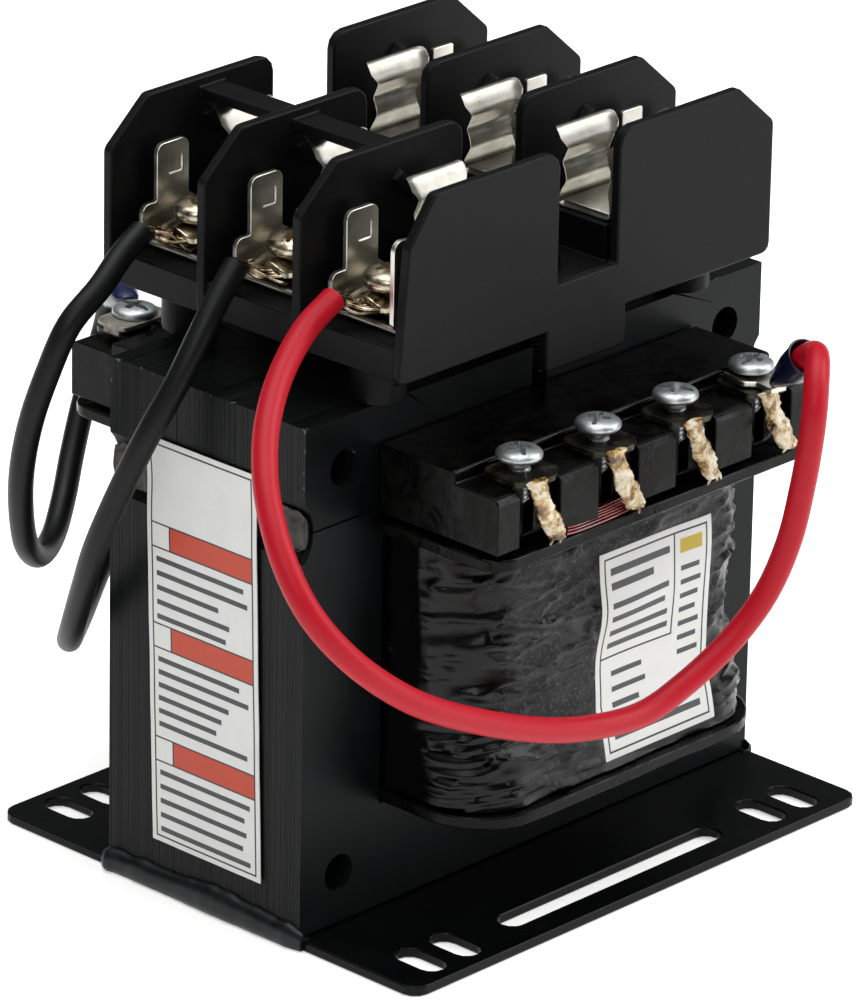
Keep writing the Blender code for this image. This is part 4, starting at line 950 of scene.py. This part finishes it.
def tail_form(x, side, lug_top, front, seed):
    """A soldered tail: a crusted strip that hangs before the board and ends ragged."""
    chance = random.Random(seed)
    count, steps = 18, 30
    rows = []
    for i in range(steps + 1):
        share = i / steps
        z = lug_top + 0.1 - TAIL_LENGTH * share
        wide = 1.75 * (1 + 0.2 * math.sin(2.2 + 9 * share + chance.uniform(-0.2, 0.2)))
        deep = 0.85 * (1.1 if share >= 0.85 else 1.0) * (0.75 if share < 0.08 else 1.0)
        row = []
        for spoke in ring(1.0, 0.0, count):
            point = Vector((4.6 * share ** 1.2 + wide * spoke.x, deep * spoke.y, z))
            lump = noise.fractal(Vector((point.x * 0.9, point.z * 0.7, seed + spoke.y)), 0.7, 2.1, 4)
            row.append(point + spoke * 0.38 * lump)
        rows.append(row)
    form = loft(rows)
    for _ in range(4):
        root = Vector((4.4 + chance.uniform(-1.2, 1.2), chance.uniform(-0.3, 0.3), lug_top - 8.6))
        tip = root + Vector((chance.uniform(-0.6, 1.4), chance.uniform(-0.6, 0.1), -chance.uniform(1.2, 2.0)))
        bend = (root + tip) / 2 + Vector((0.2, -0.2, 0))
        tube(curve_through([root, bend, tip], 3), (0.5, 0.12), form)
    if seed % 10 == LOOSE_TAIL:
        hook = [(1.2, -0.4, 5.4), (0.0, -1.0, 5.1), (-1.3, -1.3, 5.9), (-2.4, -1.2, 6.3)]
        tube(curve_through([(x, y, lug_top - z) for x, y, z in hook], 4), (0.34, 0.14), form, 1)
    turn = Matrix.Rotation(math.pi if side > 0 else 0.0, 4, "Z")
    bmesh.ops.transform(form, matrix=Matrix.Translation((x, side * abs(front), 0)) @ turn, verts=form.verts)
    return form


class TRANSFORMER_OT_boards(bpy.types.Operator):
    """Makes the terminal boards with their lugs, soldered tails and loose magnet wires"""
    bl_idname = "transformer.boards"
    bl_label = "Terminal boards"

    def execute(self, context):
        seed = context.scene.transformer.seed
        for side, row in ((-1, "front"), (1, "rear")):
            board = f"{row}_terminal_board"
            eased(board, finish("varnished_moulding"), 0.22)
            face = abs(corners(board)[0 if side < 0 else 1].y)
            for number in range(1, 5):
                node = f"{row}_lug_{number}"
                screw, top = middle(f"{row}_screw_{number}"), corners(node)[1].z
                form = tail_form(screw.x + 2.0 * side, side, top, face + 0.95,
                                 seed + number + (10 if side > 0 else 0))
                pad = [(-4.5, -3.6, 2.2), (-4.5, 3.4, 1.6), (-1.8, 5.2, 0.4), (1.8, 5.2, 0.4),
                       (4.5, 3.4, 1.6), (4.5, -3.6, 2.2)]
                outline = [(screw.x + x, screw.y + side * y) for x, y in rounded(pad, 4)]
                plate(outline, top - SHEET, top, form=form, paint=1)
                finishes = [finish("solder_flux"), finish("dull_lug")]
                place_piece(f"{node}_finished", mesh_of(node, form), finishes, [node], 60)
        ledge = corners("coil_form")[1].z
        lines = []
        for i in range(MAGNET_WIRES):
            y = -(42.9 - 0.3 * i)
            points = [(-19.5 + 0.4 * i, y - 0.2, ledge + 0.7 + 0.3 * i),
                      (-16.5, y - 0.1, ledge + 0.4 + 0.3 * i),
                      (-11.0, y + 0.1 * math.sin(i), ledge + 0.35 + 0.28 * i),
                      (-6.5 + 0.5 * i, y + 0.2, ledge + 0.5 + 0.24 * i),
                      (-2.5 + 0.5 * i, y + 0.9, ledge + 0.55)]
            lines.append(curve_through(points, 6))
        wires("loose_magnet_wires", lines, MAGNET_WIRE, finish("enamelled_wire"))
        return {"FINISHED"}


class TRANSFORMER_OT_fuse_block(bpy.types.Operator):
    """Makes the fuse block's moulding"""
    bl_idname = "transformer.fuse_block"
    bl_label = "Fuse block"

    def execute(self, context):
        ease = context.scene.transformer.block_ease / MM
        form = form_of("fuse_block_base")
        low, high = corners("fuse_block_base")
        shoulder = high.z - 6.6
        for vertex in form.verts:
            x, y, z = vertex.co
            if y < low.y + 2 and x < low.x + 2.5:
                vertex.co.x += WALL_LEAN * (z - low.z) / (shoulder - low.z)
        place_piece("fuse_block_moulding", mesh_of("fuse_block_moulding", form), [block_moulding()],
                    ["fuse_block_base"], 50, ease)
        return {"FINISHED"}


def clip_form(floor, near, far):
    """A fuse clip: a U of spring sheet, waisted, whose rolled lips have an ear at their outer end."""
    half = curve_through([
        (0.0, 0.0), (2.2, 0.0), (4.3, 0.05), (4.85, 0.5), (4.75, 1.8), (4.05, 3.6), (4.3, 5.0), (4.75, 6.2),
        (4.3, 7.4), (3.85, 8.5), (3.95, 9.0), (4.25, 9.6), (4.6, 10.3), (5.0, 10.95), (5.45, 11.4),
        (5.95, 11.5), (6.25, 11.2)], 3)
    across = 14
    rows = []
    for offset, height in [(-p.x, p.y) for p in reversed(half[1:])] + [(p.x, p.y) for p in half]:
        leaf = abs(offset) > 3
        lip = limited((height - 8.6) / 1.4) * leaf
        waist = limited((height - 1.0) / 2.5) * (1 - lip) * leaf
        crown = 0.8 * max(0.0, (abs(offset) - 5.0) / 1.2) ** 2 * (height > 10)
        inner = near + 0.6 * waist - 0.3 * lip + crown
        outer = far - 0.7 * waist + 0.4 * lip - crown
        row = []
        for i in range(across + 1):
            x = inner + (outer - inner) * i / across
            ear = max(0.0, (x - (far - 1.1)) / 1.4) ** 1.5 * limited((height - 3) / 3) * (1 - 0.6 * lip)
            row.append(Vector((-x, offset - math.copysign(1.1 * ear, offset), floor + height)))
        rows.append(row)
    form = bmesh.new()
    verts = [[form.verts.new(point) for point in row] for row in rows]
    for a, b in zip(verts, verts[1:]):
        for i in range(across):
            form.faces.new((a[i], a[i + 1], b[i + 1], b[i]))
    bmesh.ops.solidify(form, geom=form.faces, thickness=0.7)
    bmesh.ops.recalc_face_normals(form, faces=form.faces)
    return form


def saddle_form(node):
    """A pressure plate bent by its screw: crowned, wavy, its sides curled down over the wire."""
    form = form_of(node)
    bmesh.ops.triangulate(form, faces=form.faces)
    for _ in range(3):
        bmesh.ops.subdivide_edges(form, edges=form.edges, cuts=1, use_grid_fill=True)
    centre = middle(node)
    half = frame_size(node).y / 2
    for vertex in form.verts:
        u = (vertex.co.y - centre.y) / half
        v = (vertex.co.x - centre.x) / half
        near = max(0.0, -v) ** 2
        wave = 0.3 * math.sin(5.2 * u + centre.y) * (0.2 + near)
        vertex.co.z += 0.2 - 0.5 * abs(u) ** 2.2 - 0.75 * near + wave
    return form


def tube(line, radii, form, paint=0, count=8):
    """A bent rod along a line, its radius running from the first value to the second."""
    rings = []
    for i, point in enumerate(line):
        way = line[min(i + 1, len(line) - 1)] - line[max(i - 1, 0)]
        turn = way.to_track_quat("Z", "Y").to_matrix()
        radius = radii[0] + (radii[1] - radii[0]) * i / (len(line) - 1)
        rings.append([point + turn @ spoke for spoke in ring(radius, 0.0, count)])
    return loft(rings, form, True, paint)


def terminal_form(base, side):
    """The wiring end of a stamping: its floor, the quick-connect tab behind and the guard in front."""
    form = bmesh.new()
    zero = base - 11.6
    edge, inner, notch = -33.8, -25.6, base + 2.1
    link, neck, crest = zero + 17.0, zero + 17.8, zero + 26.3
    plate(oblong(edge, -6.6, inner, 6.6, 0.4), base, base + SHEET, form=form)
    tube([Vector((edge + 0.3, y, base + 0.3)) for y in (-6.5, 0.0, 6.2)], (0.6, 0.6), form, 0, 16)
    strap = [(edge + 1, base), (-24.0, base), (-22.6, link), (-10.5, link)]
    plate(strap + [(x, z + SHEET) for x, z in reversed(strap)], -4.4, 4.4, "Y", form)
    brow = crest if side == "left" else crest - 1
    guard = [(edge, base, 0), (-36.0, notch, 0.8), (-36.0, brow, 1.6), (inner - 3.2, brow - 0.9, 1.4),
             (inner, neck, 0.8), (inner, base, 0)]
    plate(rounded(guard), -6.7, -5.9, "Y", form, 1)
    if side == "right":
        post = [(-28.7, base, 0), (-28.7, zero + 27.1, 0.4), (-24.4, zero + 27.1, 0.4), (-24.4, base, 0)]
        plate(rounded(post, 3), -6.65, -5.95, "Y", form, 1)
    left, right = TAB_SHIFT - 33.2, TAB_SHIFT - 26.85
    tab = [(edge, base, 0), (-35.3, notch, 0.8), (-35.3, neck, 1.4), (left, neck, 0.3), (left, crest, 1.5),
           (right, crest, 1.5), (right, neck, 0.8), (inner + TAB_SHIFT, link, 0.6),
           (inner + TAB_SHIFT, base, 0)]
    window = plate(oblong(left + 2.3, zero + 21.4, right - 1.35, zero + 24.0, 0.3, 2), 5.0, 6.15, "Y")
    pressed = carve(mesh_of("tab", plate(rounded(tab), 5.9, 6.7, "Y")), [window])
    pressed.transform(Matrix.Scale(1 / MM, 4))
    count = len(form.faces)
    form.from_mesh(pressed)
    form.faces.ensure_lookup_table()
    for face in form.faces[count:]:
        face.material_index = 1
    return form


class TRANSFORMER_OT_clips(bpy.types.Operator):
    """Makes the fuse clips with their wiring terminals and pressure plates"""
    bl_idname = "transformer.clips"
    bl_label = "Fuse clips"

    def execute(self, context):
        base = corners("clip_terminal_left_1")[0].z
        spring = mesh_of("spring", clip_form(base + 5.4, 10.0, 21.0))
        for side in ("left", "right"):
            form = bmesh.new()
            for mesh in (mesh_of("terminal", terminal_form(base, side)), spring):
                form.from_mesh(mesh)
            mesh = mesh_of(f"clip_{side}", form, 1.0)
            finishes = [tinned_clip(), tinned_clip()]
            if side == "left":
                finishes[1] = finish("stained_tin")
            else:
                mesh.transform(Matrix.Rotation(math.pi, 4, "Z"))
            for number, pole in enumerate(POLES, 1):
                node = f"clip_terminal_{side}_{number}"
                copy = mesh.copy()
                copy.materials.clear()
                copy.transform(Matrix.Translation((0, pole * MM, 0)))
                place_piece(f"{node}_finished", copy, finishes, [node], 40, 0.1)
                node = f"pressure_plate_{side}_{number}"
                if side == "left":
                    place_piece(f"{node}_finished", mesh_of(node, saddle_form(node)),
                                [finish("stained_screw")], [node], 55)
                else:
                    eased(node, finish("bright_zinc"), 0.15)
        return {"FINISHED"}


def printed_form(width, height, fields, spacing):
    """A printed sheet as a grid cut at the edges of its fields, each cell with its field's finish."""
    def cuts(size, edges):
        marks = sorted({0.0, size, *[round(e, 4) for e in edges if 0 < e < size]})
        lines = []
        for a, b in zip(marks, marks[1:]):
            steps = max(1, round((b - a) / spacing))
            lines += [a + (b - a) * i / steps for i in range(steps)]
        return [*lines, size]
    across = cuts(width, [edge for field in fields for edge in (field[0], field[2])])
    up = cuts(height, [edge for field in fields for edge in (field[1], field[3])])
    form = bmesh.new()
    verts = [[form.verts.new((u, v, 0)) for u in across] for v in up]
    for row, (v0, v1) in enumerate(zip(up, up[1:])):
        for column, (u0, u1) in enumerate(zip(across, across[1:])):
            face = form.faces.new((verts[row][column], verts[row][column + 1], verts[row + 1][column + 1],
                                   verts[row + 1][column]))
            u, v = (u0 + u1) / 2, (v0 + v1) / 2
            for left, bottom, right, top, ink in fields:
                if left < u < right and bottom < v < top:
                    face.material_index = ink
    return form


def frame_lines(width, height, inset, line):
    """The thin printed line that runs round a label."""
    return [(inset, inset, width - inset, inset + line, 1),
            (inset, height - inset - line, width - inset, height - inset, 1),
            (inset, inset, inset + line, height - inset, 1),
            (width - inset - line, inset, width - inset, height - inset, 1)]


def bars(left, right, top, shares, thick, pitch):
    """Plain bars in the place of small print, each so much of the width."""
    return [(left, top - pitch * i - thick, left + (right - left) * share, top - pitch * i, 3)
            for i, share in enumerate(shares)]


class TRANSFORMER_OT_labels(bpy.types.Operator):
    """Makes the two labels with plain fields of colour"""
    bl_idname = "transformer.labels"
    bl_label = "Labels"

    def execute(self, context):
        settings = context.scene.transformer
        inks = [label_ink("label_stock", (*settings.paper, 1.0)), label_ink("label_line", "#26282A"),
                label_ink("label_band", (*settings.band, 1.0)), label_ink("label_bar", "#3A3C3E"),
                label_ink("label_amber", "#B49A2C")]
        low, high = corners("side_label")
        width, height = high.y - low.y, high.z - low.z
        inset, line = 0.75, 0.28
        fields = frame_lines(width, height, inset, line)
        inner = inset + line
        for top, shares in ((49.2, (0.96, 1.0, 0.68, 0.8, 0.76)), (33.8, (0.9, 1.0, 0.78, 0.7, 0.64, 0.98)),
                            (16.2, (1.0, 0.94, 0.96, 0.92, 1.0))):
            fields += [(inner, top - 3.7, width - inner, top + 0.25, 1),
                       (inner + 3.6, top - 3.45, width - inner, top, 2),
                       (inner, top - 3.45, inner + 3.3, top, 0)]
            pitch = 2.0 if len(shares) > 5 else 2.2
            fields += bars(inner + 0.7, width - inner - 0.9, top - 4.9, shares, 0.8, pitch)
        form = printed_form(width, height, fields, 1.6)
        face = low.x
        joint = corners("core_i_stack")[0].z
        for vertex in form.verts:
            u, v, _ = vertex.co
            z = low.z + v
            aside = 0.03 * (height - v)
            dip = 0.28 * math.exp(-((z - joint) / 3.2) ** 2) * (0.7 + 0.3 * math.sin(u * 0.5))
            ripple = 0.05 * noise.noise(Vector((u * 0.2, z * 0.15, 0.0)))
            vertex.co = Vector((face + dip + ripple, high.y - u - aside + 0.5, z))
        self.finish_label(form, "side_label", Vector((1, 0, 0)), inks)

        low, high = corners("coil_label")
        width, height = high.x - low.x, high.z - low.z
        fields = frame_lines(width, height, 0.9, 0.3)
        divider = 15.6
        fields += [(divider, 14.6, divider + 0.3, height - 0.9, 1), (0.9, 14.6, divider + 0.3, 14.9, 1),
                   (divider + 1.3, height - 4.4, width - 2.0, height - 2.2, 4)]
        edge = divider - 0.8
        for left, right, top, shares, thick, pitch in (
                (2.2, edge, height - 2.6, (1.0, 0.72), 1.1, 2.2),
                (2.2, edge, height - 7.8, (0.98, 0.92), 0.9, 2.1),
                (2.2, edge, height - 12.2, (0.98, 1.0), 0.9, 2.1),
                (3.4, 10.5, 12.4, (0.9, 1.0, 0.8), 0.8, 2.4),
                (2.4, width - 2.6, 3.6, (1.0,), 1.0, 0.0),
                (divider + 1.5, width - 2.0, height - 6.4, (0.9, 1.0, 0.9, 0.8, 1.0, 0.9, 1.0), 0.8, 2.2)):
            fields += bars(left, right, top, shares, thick, pitch)
        form = printed_form(width, height, fields, 0.9)
        for vertex in form.verts:
            u, v, _ = vertex.co
            x, z = low.x + u, low.z + v
            vertex.co = Vector((x, 0.03 - wrap_reach(z) - label_wave(x, z), z))
        self.finish_label(form, "coil_label", Vector((0, 1, 0)), inks)
        return {"FINISHED"}

    def finish_label(self, form, node, inward, inks):
        bmesh.ops.recalc_face_normals(form, faces=form.faces)
        if sum((face.normal for face in form.faces), Vector()).dot(inward) > 0:
            bmesh.ops.reverse_faces(form, faces=form.faces)
        pushed = bmesh.ops.extrude_face_region(form, geom=form.faces[:], use_keep_orig=True)
        backs = [item for item in pushed["geom"] if isinstance(item, bmesh.types.BMVert)]
        bmesh.ops.translate(form, verts=backs, vec=inward * LABEL_SHEET)
        bmesh.ops.recalc_face_normals(form, faces=form.faces)
        place_piece(f"{node}_finished", mesh_of(node, form), inks, [node], 50)


class TRANSFORMER_OT_clamp(bpy.types.Operator):
    """Makes the saddle plate over the rear fork"""
    bl_idname = "transformer.clamp"
    bl_label = "Wire clamp"

    def execute(self, context):
        clamp = eased("rear_wire_clamp", finish("worn_zinc"), 0.15)
        clamp.data.transform(Matrix.Translation((0, 0, -0.5 * MM)))
        return {"FINISHED"}


class TRANSFORMER_OT_stage(bpy.types.Operator):
    """Makes the pale floor and the soft studio light"""
    bl_idname = "transformer.stage"
    bl_label = "Stage"

    def execute(self, context):
        form = bmesh.new()
        bmesh.ops.create_grid(form, x_segments=2, y_segments=2, size=6000)
        floor = bpy.data.objects.new("floor", mesh_of("floor", form))
        floor.location.z = -0.1 * MM
        context.scene.collection.objects.link(floor)
        colour = (*context.scene.transformer.floor, 1.0)
        floor.data.materials.append(close(start("studio_floor")[0], colour, None, None, {
            "Roughness": 0.9, "Specular IOR Level": 0.1, "Emission Color": "#FFFFFF",
            "Emission Strength": 0.4}))
        for name, at, size, power in (
                ("left", (-1.5, -0.9, 1.5), 1.0, 10.5), ("right", (1.28, -0.9, 1.3), 1.1, 19.0),
                ("front", (1.45, -1.55, 0.5), 0.8, 9.0), ("top", (0.0, 0.2, 2.3), 1.8, 36.0)):
            lamp = bpy.data.lights.new(name, "AREA")
            lamp.shape = "SQUARE"
            lamp.size = size
            lamp.energy = power
            light = bpy.data.objects.new(name, lamp)
            light.location = at
            light.rotation_euler = (Vector((0, 0, 0.05)) - Vector(at)).to_track_quat("-Z", "Y").to_euler()
            context.scene.collection.objects.link(light)
        world = bpy.data.worlds.new("studio")
        world.use_nodes = True
        sky = world.node_tree
        sky.nodes.clear()
        height = add(sky, "SeparateXYZ", {"Vector": add(sky, "TexCoord").outputs["Generated"]})
        shade = add(sky, "ValToRGB", {"Fac": height.outputs["Z"]}, [
            (0.0, "#8A8A8A"), (0.3, "#4A4B4C"), (0.5, "#5A5B5C"), (0.8, "#F4F5F6")])
        add(sky, "OutputWorld", {"Surface": add(sky, "Background", {"Color": shade, "Strength": 0.8})})
        context.scene.world = world
        context.scene.view_settings.view_transform = "Standard"
        return {"FINISHED"}


class TRANSFORMER_PT_looks(bpy.types.Panel):
    """Lists the settings and the pieces"""
    bl_idname = "TRANSFORMER_PT_looks"
    bl_label = "Control transformer"
    bl_space_type = "VIEW_3D"
    bl_region_type = "UI"
    bl_category = "Transformer"

    def draw(self, context):
        for name in TransformerSettings.__annotations__:
            self.layout.prop(context.scene.transformer, name)
        for operator in OPERATORS:
            self.layout.operator(operator.bl_idname)


OPERATORS = (TRANSFORMER_OT_camera, TRANSFORMER_OT_leads, TRANSFORMER_OT_stage, TRANSFORMER_OT_core,
             TRANSFORMER_OT_foot, TRANSFORMER_OT_coil, TRANSFORMER_OT_boards, TRANSFORMER_OT_screws,
             TRANSFORMER_OT_fuse_block, TRANSFORMER_OT_clips, TRANSFORMER_OT_labels, TRANSFORMER_OT_clamp)
CLASSES = (TransformerSettings, *OPERATORS, TRANSFORMER_PT_looks)


def register():
    for item in CLASSES:
        bpy.utils.register_class(item)
    bpy.types.Scene.transformer = PointerProperty(type=TransformerSettings)


def unregister():
    del bpy.types.Scene.transformer
    for item in reversed(CLASSES):
        bpy.utils.unregister_class(item)


def main():
    register()
    for operator in OPERATORS:
        group, name = operator.bl_idname.split(".")
        getattr(getattr(bpy.ops, group), name)()


if __name__ == "__main__":
    main()
